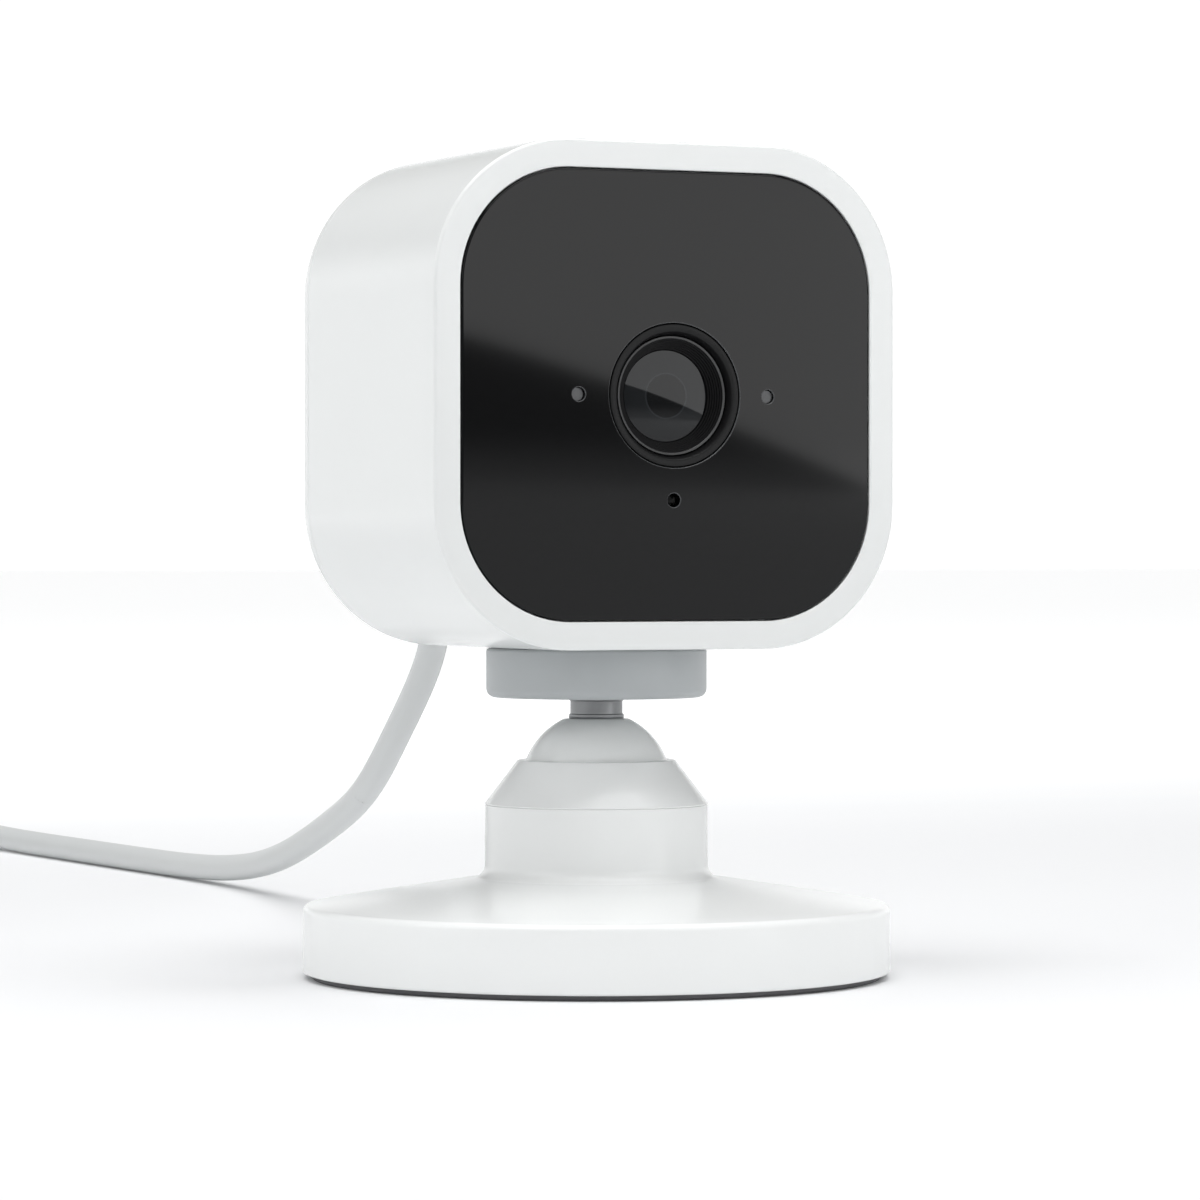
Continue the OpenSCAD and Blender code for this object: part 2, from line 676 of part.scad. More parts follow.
module plug_boot() color("white") turned(0, usb_z) polygon([
    [0, boot_y], [2.9, boot_y], [cord_r + 0.5, exit_y], [0, exit_y]
]);

module cord_lead() color("white") tube(cord_route, 0, hang_spans);

module cord_floor() color("white") tube(cord_route, hang_spans, len(cord_route) - 1);

module cord_coil() color("white") union() {
    width = coil_rows * cord_d;
    translate([coil_x, coil_y, coil_z]) rotate_extrude()
        translate([coil_mid_r - width / 2, 0]) square([width, coil_rows * cord_d]);
    tube(tail_route, 0, len(tail_route) - 1);
}

// Band round the coil's turns
module cord_tie() color("dimgray") {
    width = coil_rows * cord_d + 0.4;
    translate([coil_x, coil_y + coil_mid_r, coil_z + coil_rows * cord_d / 2])
        rotate([0, 90, 0]) translate([0, 0, -tie_w / 2]) linear_extrude(tie_w) difference() {
            square([coil_rows * cord_d + 2 * tie_t, width + 2 * tie_t], center = true);
            square([coil_rows * cord_d, width], center = true);
        }
}

// A stage of the far plug, lying along -Y on the table
module supply_stage(y0, y1, w, h, r) {
    translate([supply_x, y1, supply_grip_h / 2]) rotate([90, 0, 0])
        linear_extrude(y1 - y0) rounded(w, h, r);
}

module supply_boot() color("white")
    translate([supply_x, supply_y, supply_grip_h / 2]) rotate([90, 0, 0])
        cylinder(r1 = cord_r + 0.5, r2 = 3, h = supply_boot_l);

module supply_grip() color("white") {
    y1 = supply_y - supply_boot_l;
    supply_stage(y1 - supply_grip_l, y1, supply_grip_w, supply_grip_h, 2.4);
}

module supply_shell() color("silver") {
    y1 = supply_y - supply_boot_l - supply_grip_l;
    difference() {
        supply_stage(y1 - supply_shell_l, y1, supply_shell_w, supply_shell_h, 0.6);
        translate([0, 0, 0.9])
            supply_stage(y1 - supply_shell_l - cut, y1 - 1.5, supply_shell_w - 0.8, 1.9, 0.3);
    }
}

base_cover();
socket_collar();
spring_washer();
mount_plate();
foot_pad();
ball_seat();
cord_floor();
cord_coil();
cord_tie();
supply_boot();
supply_grip();
supply_shell();
friction_pad();
ball();
stem();
puck();
puck_screw();
front_housing();
rear_cover();
front_panel();
panel_gasket();
lens_trim();
lens_barrel();
front_lens();
aperture_stop();
rear_lens();
lens_holder();
ir_filter();
image_sensor();
led_board();
ir_leds();
status_led();
light_sensor();
status_light_pipe();
sensor_light_pipe();
microphone();
mic_boot();
main_board();
processor();
shield_can();
antenna();
thermal_pad();
heat_spreader();
board_screws();
power_board();
usb_receptacle();
reset_switch();
reset_button();
speaker();
speaker_gasket();
usb_shell();
plug_grip();
plug_boot();
cord_lead();
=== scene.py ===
"""Looks of a small plug-in security camera on a ball-jointed stand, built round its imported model.

Sizes are in millimetres in the classes below and become metres when a mesh is made. The stand's
axis is the Z axis, the table is z = 0 and the camera looks along -Y.
"""

import logging
import math
from dataclasses import dataclass, field
from enum import Enum
from typing import Callable, Iterable, Sequence

import bmesh
import bpy
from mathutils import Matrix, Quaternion, Vector
from mathutils.geometry import delaunay_2d_cdt


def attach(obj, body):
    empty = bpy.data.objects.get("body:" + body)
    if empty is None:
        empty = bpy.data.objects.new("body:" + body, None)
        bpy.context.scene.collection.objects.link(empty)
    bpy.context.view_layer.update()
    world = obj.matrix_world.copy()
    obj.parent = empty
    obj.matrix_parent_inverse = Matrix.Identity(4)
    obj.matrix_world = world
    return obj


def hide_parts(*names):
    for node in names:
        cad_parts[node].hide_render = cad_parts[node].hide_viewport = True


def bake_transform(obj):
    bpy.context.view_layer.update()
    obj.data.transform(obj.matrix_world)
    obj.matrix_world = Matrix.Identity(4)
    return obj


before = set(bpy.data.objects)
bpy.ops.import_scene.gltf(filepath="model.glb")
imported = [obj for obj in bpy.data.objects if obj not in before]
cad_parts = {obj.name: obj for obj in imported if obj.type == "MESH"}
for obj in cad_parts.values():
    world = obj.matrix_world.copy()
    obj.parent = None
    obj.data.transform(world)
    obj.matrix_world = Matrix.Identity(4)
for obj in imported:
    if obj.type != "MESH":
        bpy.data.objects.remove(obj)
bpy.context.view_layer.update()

LOG = logging.getLogger("camera")
MM = 0.001
HEAD_Z = 58.206  # height of the housing's middle, where the lens axis is
PORT_Z = 43.506  # height of the power port and the reset button
FRONT_Y = -16.9  # front of the housing's rim
BALL_Z = 19.2  # centre of the ball joint
BUTTON_X = -12.5  # place of the reset button
SPAN_STEPS = 8  # pieces that each span of the lead's curve is cut into
Point = tuple[float, float, float]
Flat = tuple[float, float]
Colour = tuple[float, float, float]


class Body(Enum):
    """The rigid bodies that pieces ride on."""

    STAND = "stand"
    PAN_SEAT = "pan_seat"
    LEAN_PAD = "lean_pad"
    HEAD = "head"
    BUTTON = "button"


# ---------------------------------------------------------------- materials


class Signal:
    """A node's output socket that can be used in arithmetic."""

    def __init__(self, sheet: "NodeSheet", socket: bpy.types.NodeSocket) -> None:
        """Keeps the sheet that new Math nodes go on, and the socket itself."""
        self.sheet = sheet
        self.socket = socket

    def _maths(self, operation: str, first: "Term", second: "Term") -> "Signal":
        """Adds one Math node.

        Args:
            operation: the Math node's operation.
            first: its first value or signal.
            second: its second value or signal.

        Returns:
            The node's result.
        """
        return self.sheet.add("ShaderNodeMath", {"operation": operation}, {0: first, 1: second})

    def __add__(self, other: "Term") -> "Signal":
        """Sum."""
        return self._maths("ADD", self, other)

    __radd__ = __add__

    def __sub__(self, other: "Term") -> "Signal":
        """Difference."""
        return self._maths("SUBTRACT", self, other)

    def __rsub__(self, other: "Term") -> "Signal":
        """Difference with this signal taken away."""
        return self._maths("SUBTRACT", other, self)

    def __mul__(self, other: "Term") -> "Signal":
        """Product."""
        return self._maths("MULTIPLY", self, other)

    __rmul__ = __mul__

    def __truediv__(self, other: "Term") -> "Signal":
        """Quotient."""
        return self._maths("DIVIDE", self, other)

    def __rtruediv__(self, other: "Term") -> "Signal":
        """Quotient with this signal below."""
        return self._maths("DIVIDE", other, self)

    def __pow__(self, other: "Term") -> "Signal":
        """Power."""
        return self._maths("POWER", self, other)


Term = Signal | float


class NodeSheet:
    """The node tree of one material or of the world."""

    def __init__(self, tree: bpy.types.NodeTree) -> None:
        """Empties the tree."""
        self.tree = tree
        tree.nodes.clear()

    def add(self, kind: str, settings: dict | None = None, inputs: dict | None = None,
            output: int | str = 0) -> Signal:
        """Adds any node.

        Args:
            kind: the node's type name.
            settings: properties set before the sockets.
            inputs: socket name or number against a value or a signal.
            output: which output to return.

        Returns:
            The chosen output.
        """
        node = self.tree.nodes.new(kind)
        for name, value in (settings or {}).items():
            setattr(node, name, value)
        for key, value in (inputs or {}).items():
            socket = node.inputs[key]
            if isinstance(value, Signal):
                self.tree.links.new(value.socket, socket)
            else:
                socket.default_value = value
        return Signal(self, node.outputs[output]) if node.outputs else Signal(self, None)

    def place(self) -> Signal:
        """Position on the piece, in metres."""
        return self.add("ShaderNodeTexCoord", output="Object")

    def noise(self, scale: float, detail: float = 2.0, vector: Signal | None = None) -> Signal:
        """Soft noise.

        Args:
            scale: cells per metre.
            detail: octaves.
            vector: where it is read; the place on the piece if left out.

        Returns:
            Its level, from 0 to 1.
        """
        return self.add("ShaderNodeTexNoise", None,
                        {"Vector": vector or self.place(), "Scale": scale, "Detail": detail})

    def stretch(self, vector: Signal, by: Point) -> Signal:
        """The vector with each part multiplied."""
        return self.add("ShaderNodeVectorMath", {"operation": "MULTIPLY"}, {0: vector, 1: by})

    def part(self, vector: Signal, axis: int) -> Signal:
        """One part of a vector: 0, 1 or 2 for X, Y or Z."""
        return self.add("ShaderNodeSeparateXYZ", None, {0: vector}, axis)

    def smooth_step(self, value: Term, low: float, high: float) -> Signal:
        """0 below low, 1 above high, with a soft change between."""
        return self.add("ShaderNodeMapRange", {"interpolation_type": "SMOOTHSTEP"},
                        {"Value": value, "From Min": low, "From Max": high})

    def blend(self, factor: Term, first: Colour | Signal, second: Colour | Signal) -> Signal:
        """A mix of two colours.

        Args:
            factor: 0 for the first, 1 for the second.
            first: a colour or a signal.
            second: a colour or a signal.

        Returns:
            The mixed colour.
        """
        def rgba(colour: Colour | Signal) -> object:
            """Colours get an alpha; signals stay."""
            return colour if isinstance(colour, Signal) else (*colour, 1.0)
        return self.add("ShaderNodeMix", {"data_type": "RGBA"},
                        {0: factor, 6: rgba(first), 7: rgba(second)}, 2)

    def bump(self, height: Signal, distance: float) -> Signal:
        """Turns a height of 0 to 1 into a normal; distance is in metres."""
        return self.add("ShaderNodeBump", None,
                        {"Height": height, "Distance": distance, "Strength": 1.0})


@dataclass(frozen=True)
class Finish:
    """A finish with a little colour drift and a fine moulded texture."""

    name: str
    colour: Colour
    roughness: float
    metallic: float = 0.0
    drift: float = 0.03
    grain_per_mm: float = 6.0
    grain_depth: float = 0.004
    rough_spread: float = 0.06
    fixed: tuple[tuple[str, float], ...] = ()

    def material(self) -> bpy.types.Material:
        """Returns the finish's Blender material, made at the first call."""
        found = bpy.data.materials.get(self.name)
        if found is not None:
            return found
        made = bpy.data.materials.new(self.name)
        made.use_nodes = True
        sheet = NodeSheet(made.node_tree)
        shader = self.shade(sheet)
        sheet.add("ShaderNodeOutputMaterial", None, {"Surface": shader})
        return made

    def surface(self, sheet: NodeSheet) -> dict:
        """The sockets that vary over the surface.

        Args:
            sheet: where the nodes go.

        Returns:
            Socket name against signal.
        """
        cloud = sheet.noise(90.0, 3.0)
        grain = sheet.noise(self.grain_per_mm / MM, 2.0)
        pale = tuple(min(1.0, c * (1 + self.drift)) for c in self.colour)
        deep = tuple(c * (1 - self.drift) for c in self.colour)
        return {
            "Base Color": sheet.blend(cloud, deep, pale),
            "Roughness": (grain - 0.5) * self.rough_spread + self.roughness,
            "Metallic": self.metallic,
            "Normal": sheet.bump(grain, self.grain_depth * MM),
        }

    def shade(self, sheet: NodeSheet) -> Signal:
        """Builds the shader and returns it."""
        return sheet.add("ShaderNodeBsdfPrincipled", None,
                         {**dict(self.fixed), **self.surface(sheet)})


@dataclass(frozen=True)
class BrushedMetal(Finish):
    """Metal with fine lines that run one way."""

    lines: Point = (400.0, 9000.0, 400.0)
    line_depth: float = 0.003

    def surface(self, sheet: NodeSheet) -> dict:
        """Adds the brushed lines to the plain finish."""
        base = super().surface(sheet)
        streak = sheet.noise(1.0, 3.0, sheet.stretch(sheet.place(), self.lines))
        base["Roughness"] = (streak - 0.5) * 0.25 + self.roughness
        base["Normal"] = sheet.bump(streak, self.line_depth * MM)
        return base


@dataclass(frozen=True)
class Printed(Finish):
    """Circuit board with copper tracks under its solder mask."""

    track: Colour = (0.05, 0.33, 0.14)

    def surface(self, sheet: NodeSheet) -> dict:
        """Adds tracks as thin bands of a cell pattern."""
        base = super().surface(sheet)
        cells = sheet.add("ShaderNodeTexVoronoi", {"feature": "DISTANCE_TO_EDGE"},
                          {"Vector": sheet.place(), "Scale": 380.0})
        line = 1.0 - sheet.smooth_step(cells, 0.04, 0.09)
        base["Base Color"] = sheet.blend(line, base["Base Color"], self.track)
        base["Normal"] = sheet.bump(line, 0.03 * MM)
        return base


@dataclass(frozen=True)
class Ribbed(Finish):
    """Rubber or plastic with fine concentric ribs round the Z axis."""

    pitch_mm: float = 1.0

    def surface(self, sheet: NodeSheet) -> dict:
        """Adds the ribs to the grain."""
        base = super().surface(sheet)
        place = sheet.place()
        x, y = sheet.part(place, 0), sheet.part(place, 1)
        radius = (x * x + y * y) ** 0.5
        wave = sheet.add("ShaderNodeMath", {"operation": "SINE"},
                         {0: radius * (2 * math.pi / (self.pitch_mm * MM))})
        base["Normal"] = sheet.bump(wave * 0.5 + 0.5, 0.05 * MM)
        return base


@dataclass(frozen=True)
class LensWithPaintedStop(Finish):
    """An opaque front element: a mirror-smooth face with the stop behind it painted on, as a lighter
    ring face and a painted highlight line on its edge.
    """

    axis_z: float = HEAD_Z
    stop_r: float = 2.2
    line_half: float = 0.12
    edge_half: float = 0.05
    # gains for the painted stop face and the painted highlight line
    dim: float = 2.6
    bright: float = 6.0

    def surface(self, sheet: NodeSheet) -> dict:
        """Dark inside the stop, a painted lighter stop face outside it, with a painted highlight line
        between.
        """
        place = sheet.place()
        x, z = sheet.part(place, 0), sheet.part(place, 2) - self.axis_z * MM
        radius = (x * x + z * z) ** 0.5 / MM
        haze = sheet.noise(400.0, 1.0)
        stop, line_half, edge_half = self.stop_r, self.line_half, self.edge_half
        outside = sheet.smooth_step(radius, stop - edge_half, stop + edge_half)
        # painted highlight: a thin lighter ring on the stop's edge
        line = (sheet.smooth_step(radius, stop - line_half, stop)
                * (1.0 - sheet.smooth_step(radius, stop, stop + line_half)))
        # painted stop face: lighter outside the stop's radius
        face = sheet.blend(outside, self.colour, tuple(c * self.dim for c in self.colour))
        return {
            "Base Color": sheet.blend(line, face, tuple(c * self.bright for c in self.colour)),
            "Roughness": haze * 0.01 + self.roughness,
        }


WHITE = Finish("white shell plastic", (0.80, 0.815, 0.81), 0.17, drift=0.006, grain_per_mm=5.0,
               grain_depth=0.0012, rough_spread=0.05, fixed=(("Specular IOR Level", 0.5),))
BASE_WHITE = Finish("white stand plastic", (0.87, 0.882, 0.878), 0.2, drift=0.006, grain_per_mm=5.0,
                    grain_depth=0.0012, rough_spread=0.05)
PANEL = Finish("black glossy panel", (0.0022, 0.0023, 0.0026), 0.09, drift=0.05, grain_per_mm=0.4,
               grain_depth=0.0006, rough_spread=0.01, fixed=(("Specular IOR Level", 0.26),))
# lighter colour for the hole chamfers: a painted highlight line round each hole
EDGE = Finish("hole chamfer painted highlight", (0.05, 0.052, 0.055), 0.25, drift=0.04)
PUCK_GREY = Finish("grey satin plastic", (0.39, 0.41, 0.42), 0.40, drift=0.015, grain_depth=0.003)
STEM_METAL = BrushedMetal("dark turned metal", (0.27, 0.275, 0.28), 0.34, 0.8,
                          lines=(300.0, 300.0, 9000.0))
TRIM_METAL = Finish("satin lens ring", (0.007, 0.0072, 0.0075), 0.45, 0.0, drift=0.05,
                    fixed=(("Specular IOR Level", 0.22),))
# lighter colour on the barrel's front lip: a painted highlight, not metal
RIM_METAL = Finish("barrel rim painted highlight", (0.035, 0.036, 0.037), 0.35, 0.0, drift=0.02)
# light grey on the stop's rim band: a painted highlight on the black stop
STOP_RIM = Finish("stop rim painted highlight", (0.16, 0.165, 0.17), 0.35, drift=0.03)
BAFFLE = Finish("black lens baffle", (0.003, 0.003, 0.0035), 0.55, drift=0.1, grain_depth=0.004,
                fixed=(("Specular IOR Level", 0.15),))
BLACK_PART = Finish("black moulded part", (0.02, 0.02, 0.021), 0.5, drift=0.08, grain_depth=0.006)
FOOT_RUBBER = Ribbed("dark foot rubber", (0.12, 0.12, 0.125), 0.75, drift=0.08, grain_depth=0.01)
SOFT_RUBBER = Finish("soft grey rubber", (0.07, 0.07, 0.075), 0.8, drift=0.08, grain_depth=0.01)
CORD_WHITE = Finish("white lead jacket", (0.60, 0.615, 0.615), 0.42, drift=0.01, grain_per_mm=3.0,
                    grain_depth=0.005)
PLUG_WHITE = Finish("white moulded plug", (0.78, 0.795, 0.795), 0.38, drift=0.01, grain_depth=0.004)
PIPE = Finish("smoked light pipe", (0.105, 0.108, 0.112), 0.4, drift=0.04)
# opaque front lens with the stop painted on and a painted highlight on the stop's edge
GLASS = LensWithPaintedStop("front lens with painted stop", (0.004, 0.0045, 0.005), 0.03,
                   fixed=(("Specular IOR Level", 0.30),))
INNER_GLASS = Finish("coated inner lens", (0.022, 0.023, 0.026), 0.06, drift=0.1, grain_per_mm=0.3,
                     grain_depth=0.0, rough_spread=0.01, fixed=(("Specular IOR Level", 0.12),))
STEEL = BrushedMetal("pressed steel", (0.62, 0.62, 0.61), 0.32, 1.0)
NICKEL = BrushedMetal("nickel plug shell", (0.72, 0.71, 0.68), 0.22, 1.0)
ALUMINIUM = BrushedMetal("milled aluminium", (0.74, 0.75, 0.76), 0.36, 1.0)
GOLD = BrushedMetal("gold foil", (0.78, 0.58, 0.25), 0.3, 1.0)
BOARD = Printed("green circuit board", (0.02, 0.16, 0.065), 0.38, drift=0.05)
CHIP = Finish("black chip resin", (0.016, 0.016, 0.017), 0.55, drift=0.1, grain_depth=0.006)
LED_RESIN = Finish("lamp resin", (0.75, 0.68, 0.42), 0.2, drift=0.04)
SEAT = Finish("pale bearing plastic", (0.62, 0.59, 0.50), 0.4, drift=0.03)
PLATE = Finish("dark base plate", (0.055, 0.056, 0.06), 0.55, drift=0.05)


# ---------------------------------------------------------------- mesh drafting


def circle(radius: float, count: int, centre: Flat = (0.0, 0.0)) -> list[Flat]:
    """A round outline.

    Args:
        radius: in millimetres.
        count: how many points.
        centre: its middle.

    Returns:
        The points, turning from the first axis to the second.
    """
    step = 2 * math.pi / count
    return [(centre[0] + radius * math.cos(i * step), centre[1] + radius * math.sin(i * step))
            for i in range(count)]


def soft_square(width: float, height: float, corner: float, per_corner: int,
                centre: Flat = (0.0, 0.0), per_side: int = 1) -> list[Flat]:
    """A rectangle's outline with round corners.

    Args:
        width: along the first axis.
        height: along the second axis.
        corner: corner radius.
        per_corner: steps in each corner.
        centre: its middle.
        per_side: steps in each straight side.

    Returns:
        The points, turning from the first axis to the second.
    """
    points: list[Flat] = []
    arms = ((1, 1), (-1, 1), (-1, -1), (1, -1))
    for quarter, (sx, sz) in enumerate(arms):
        cx = centre[0] + sx * (width / 2 - corner)
        cz = centre[1] + sz * (height / 2 - corner)
        for i in range(per_corner + 1):
            angle = math.pi / 2 * (quarter + i / per_corner)
            points.append((cx + corner * math.cos(angle), cz + corner * math.sin(angle)))
        nx, nz = arms[(quarter + 1) % 4]
        ox = centre[0] + nx * (width / 2 - corner)
        oz = centre[1] + nz * (height / 2 - corner)
        turn = math.pi / 2 * (quarter + 1)
        end = (ox + corner * math.cos(turn), oz + corner * math.sin(turn))
        start = points[-1]
        for i in range(1, per_side):
            share = i / per_side
            points.append((start[0] + (end[0] - start[0]) * share,
                           start[1] + (end[1] - start[1]) * share))
    return points


def arc(centre: Flat, radius: float, start: float, end: float, steps: int) -> list[Flat]:
    """Points on an arc, angles in degrees, both ends included."""
    return [(centre[0] + radius * math.cos(math.radians(start + (end - start) * i / steps)),
             centre[1] + radius * math.sin(math.radians(start + (end - start) * i / steps)))
            for i in range(steps + 1)]


def inside(point: Vector, loop: Sequence[Flat]) -> bool:
    """Whether a point lies in a closed outline."""
    within = False
    for (ax, ay), (bx, by) in zip(loop, (*loop[1:], loop[0])):
        if (ay > point.y) != (by > point.y) and \
                point.x < ax + (point.y - ay) * (bx - ax) / (by - ay):
            within = not within
    return within


class Draft:
    """Collects points and faces in millimetres, then makes one Blender object of them."""

    def __init__(self) -> None:
        """Starts empty."""
        self.points: list[Point] = []
        self.faces: list[list[int]] = []
        self.slots: list[int] = []
        self.slot = 0

    def ring(self, points: Iterable[Point]) -> list[int]:
        """Adds points and returns their numbers."""
        first = len(self.points)
        self.points.extend(points)
        return list(range(first, len(self.points)))

    def face(self, corners: Sequence[int]) -> None:
        """Adds one face in the current material slot."""
        self.faces.append(list(corners))
        self.slots.append(self.slot)

    def bridge(self, first: Sequence[int], second: Sequence[int]) -> None:
        """Joins two closed rings of the same count."""
        count = len(first)
        for i in range(count):
            j = (i + 1) % count
            self.face((first[i], first[j], second[j], second[i]))

    def cap(self, ring: Sequence[int]) -> None:
        """Fills a ring with a fan round its middle."""
        middle = [sum(self.points[i][k] for i in ring) / len(ring) for k in range(3)]
        centre = self.ring([tuple(middle)])[0]
        for i, corner in enumerate(ring):
            self.face((corner, ring[(i + 1) % len(ring)], centre))

    def turn(self, profile: Sequence[Flat], steps: int = 128, closed: bool = False,
             place: Callable[[float, float, float], Point] | None = None) -> None:
        """Turns a profile of radius and height about an axis.

        Args:
            profile: radius and height along the axis; a radius of 0 closes the end.
            steps: how many steps round.
            closed: whether the profile's last point joins its first.
            place: makes a point of a cosine arm, a sine arm and a height; Z axis if left out.
        """
        at = place or (lambda a, b, h: (a, b, h))
        rings: list[list[int]] = []
        for radius, height in profile:
            if radius <= 1e-6:
                rings.append(self.ring([at(0.0, 0.0, height)]))
                continue
            rings.append(self.ring(at(x, y, height) for x, y in circle(radius, steps)))
        pairs = list(zip(rings, rings[1:]))
        if closed:
            pairs.append((rings[-1], rings[0]))
        for first, second in pairs:
            if len(first) == 1 or len(second) == 1:
                tip, loop = (first[0], second) if len(first) == 1 else (second[0], first)
                for i, corner in enumerate(loop):
                    self.face((corner, loop[(i + 1) % len(loop)], tip))
            else:
                self.bridge(first, second)

    def stack(self, outlines: Sequence[tuple[Sequence[Flat], float]], closed: bool = False,
              cap_first: bool = False, cap_last: bool = False) -> list[list[int]]:
        """Joins outlines that lie one behind the other along Y.

        Args:
            outlines: each outline with its y.
            closed: whether the last joins the first.
            cap_first: fills the first.
            cap_last: fills the last.

        Returns:
            The rings' point numbers.
        """
        rings = [self.ring((x, y, z) for x, z in outline) for outline, y in outlines]
        for first, second in zip(rings, rings[1:]):
            self.bridge(first, second)
        if closed:
            self.bridge(rings[-1], rings[0])
        if cap_first:
            self.cap(rings[0])
        if cap_last:
            self.cap(rings[-1])
        return rings

    def plate(self, outline: Sequence[Flat], holes: Sequence[Sequence[Flat]],
              y: Callable[[float, float], float], inner: Sequence[Flat] = ()) -> None:
        """Fills an outline that faces along Y, leaving holes open.

        Args:
            outline: its edge.
            holes: the edges of the holes.
            y: depth at a place.
            inner: extra points inside, for a curved plate.
        """
        flat: list[Vector] = []
        edges: list[tuple[int, int]] = []
        for loop in (outline, *holes):
            first = len(flat)
            flat.extend(Vector(p) for p in loop)
            edges.extend((first + i, first + (i + 1) % len(loop)) for i in range(len(loop)))
        flat.extend(Vector(p) for p in inner)
        points, _, triangles, *_ = delaunay_2d_cdt(flat, edges, [], 1, 1e-6)
        made = self.ring((p.x, y(p.x, p.y), p.y) for p in points)
        for triangle in triangles:
            middle = sum((points[i] for i in triangle), Vector((0.0, 0.0))) / len(triangle)
            if not any(inside(middle, hole) for hole in holes):
                self.face([made[i] for i in triangle])

    def tube(self, line: Sequence[Vector], radius: float, sides: int = 20) -> None:
        """Sweeps a round section along a line without twist and closes both ends."""
        rings: list[list[int]] = []
        side = Vector((1.0, 0.0, 0.0))
        for i, point in enumerate(line):
            ahead = (line[min(i + 1, len(line) - 1)] - line[max(i - 1, 0)]).normalized()
            side = (side - ahead * side.dot(ahead)).normalized()
            up = ahead.cross(side)
            rings.append(self.ring(tuple(point + (side * a + up * b))
                                   for a, b in circle(radius, sides)))
        for first, second in zip(rings, rings[1:]):
            self.bridge(first, second)
        self.cap(rings[0])
        self.cap(rings[-1])

    def build(self, name: str, finishes: Sequence[Finish], sharp: float = 32.0,
              normals: Callable[[Vector], Vector | None] | None = None) -> bpy.types.Object:
        """Makes the object.

        Args:
            name: the piece's name.
            finishes: one for each material slot used.
            sharp: edges that turn more than this many degrees stay sharp.
            normals: exact shading normal at a place in millimetres, or None there.

        Returns:
            The object, in metres and shaded smooth.
        """
        mesh = bpy.data.meshes.new(name)
        mesh.from_pydata([tuple(c * MM for c in p) for p in self.points], [], self.faces)
        for finish in finishes:
            mesh.materials.append(finish.material())
        mesh.polygons.foreach_set("material_index", self.slots)
        sheet = bmesh.new()
        sheet.from_mesh(mesh)
        bmesh.ops.remove_doubles(sheet, verts=sheet.verts, dist=1e-7)
        bmesh.ops.recalc_face_normals(sheet, faces=sheet.faces)
        sheet.to_mesh(mesh)
        sheet.free()
        mesh.shade_smooth()
        mesh.set_sharp_from_angle(angle=math.radians(sharp))
        if normals is not None:
            mesh.normals_split_custom_set_from_vertices(
                [normals(v.co / MM) or Vector((0.0, 0.0, 0.0)) for v in mesh.vertices])
        made = bpy.data.objects.new(name, mesh)
        bpy.context.scene.collection.objects.link(made)
        return made


def weigh_normals(piece: bpy.types.Object) -> None:
    """Makes flat faces shade flat next to their small edge rounds."""
    modifier = piece.modifiers.new("flat faces", "WEIGHTED_NORMAL")
    modifier.keep_sharp = True
    modifier.weight = 90


def install(piece: bpy.types.Object, body: Body, slot: str, *nodes: str) -> bpy.types.Object:
    """Puts a finished piece on its body.

    Args:
        piece: the object.
        body: what it rides on.
        slot: not used.
        nodes: the CAD nodes that it stands for.

    Returns:
        The same object.
    """
    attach(piece, body.value)
    if nodes:
        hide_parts(*nodes)
    LOG.info("%s rides on %s, %d faces", piece.name, body.value, len(piece.data.polygons))
    return piece


def dress(finish: Finish, *nodes: str) -> None:
    """Gives CAD nodes that stay as they are their finish.

    Args:
        finish: the finish.
        nodes: the nodes' names.
    """
    for name in nodes:
        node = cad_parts[name]
        node.data.materials.clear()
        node.data.materials.append(finish.material())
        for face in node.data.polygons:
            face.material_index = 0
        LOG.info("%s keeps its CAD shape, finish %s", name, finish.name)


def about_lens(x: float, z: float) -> Callable[[float, float, float], Point]:
    """Turning about an axis along Y through (x, z); a profile's height is then y."""
    return lambda a, b, h: (x + a, h, z + b)


def turned(name: str, profile: Sequence[Flat], finish: Finish, body: Body, slot: str, node: str,
           steps: int = 128, closed: bool = False,
           place: Callable[[float, float, float], Point] | None = None) -> bpy.types.Object:
    """Turns a profile and installs it.

    Args:
        name: the piece's name.
        profile: radius and height, as in Draft.turn.
        finish: its finish.
        body: what it rides on.
        slot: not used.
        node: the CAD node that it stands for.
        steps: how many steps round.
        closed: whether the profile's last point joins its first.
        place: as in Draft.turn.

    Returns:
        The installed piece.
    """
    draft = Draft()
    draft.turn(profile, steps, closed, place)
    return install(draft.build(name, [finish], 40), body, slot, node)


# ---------------------------------------------------------------- the stand


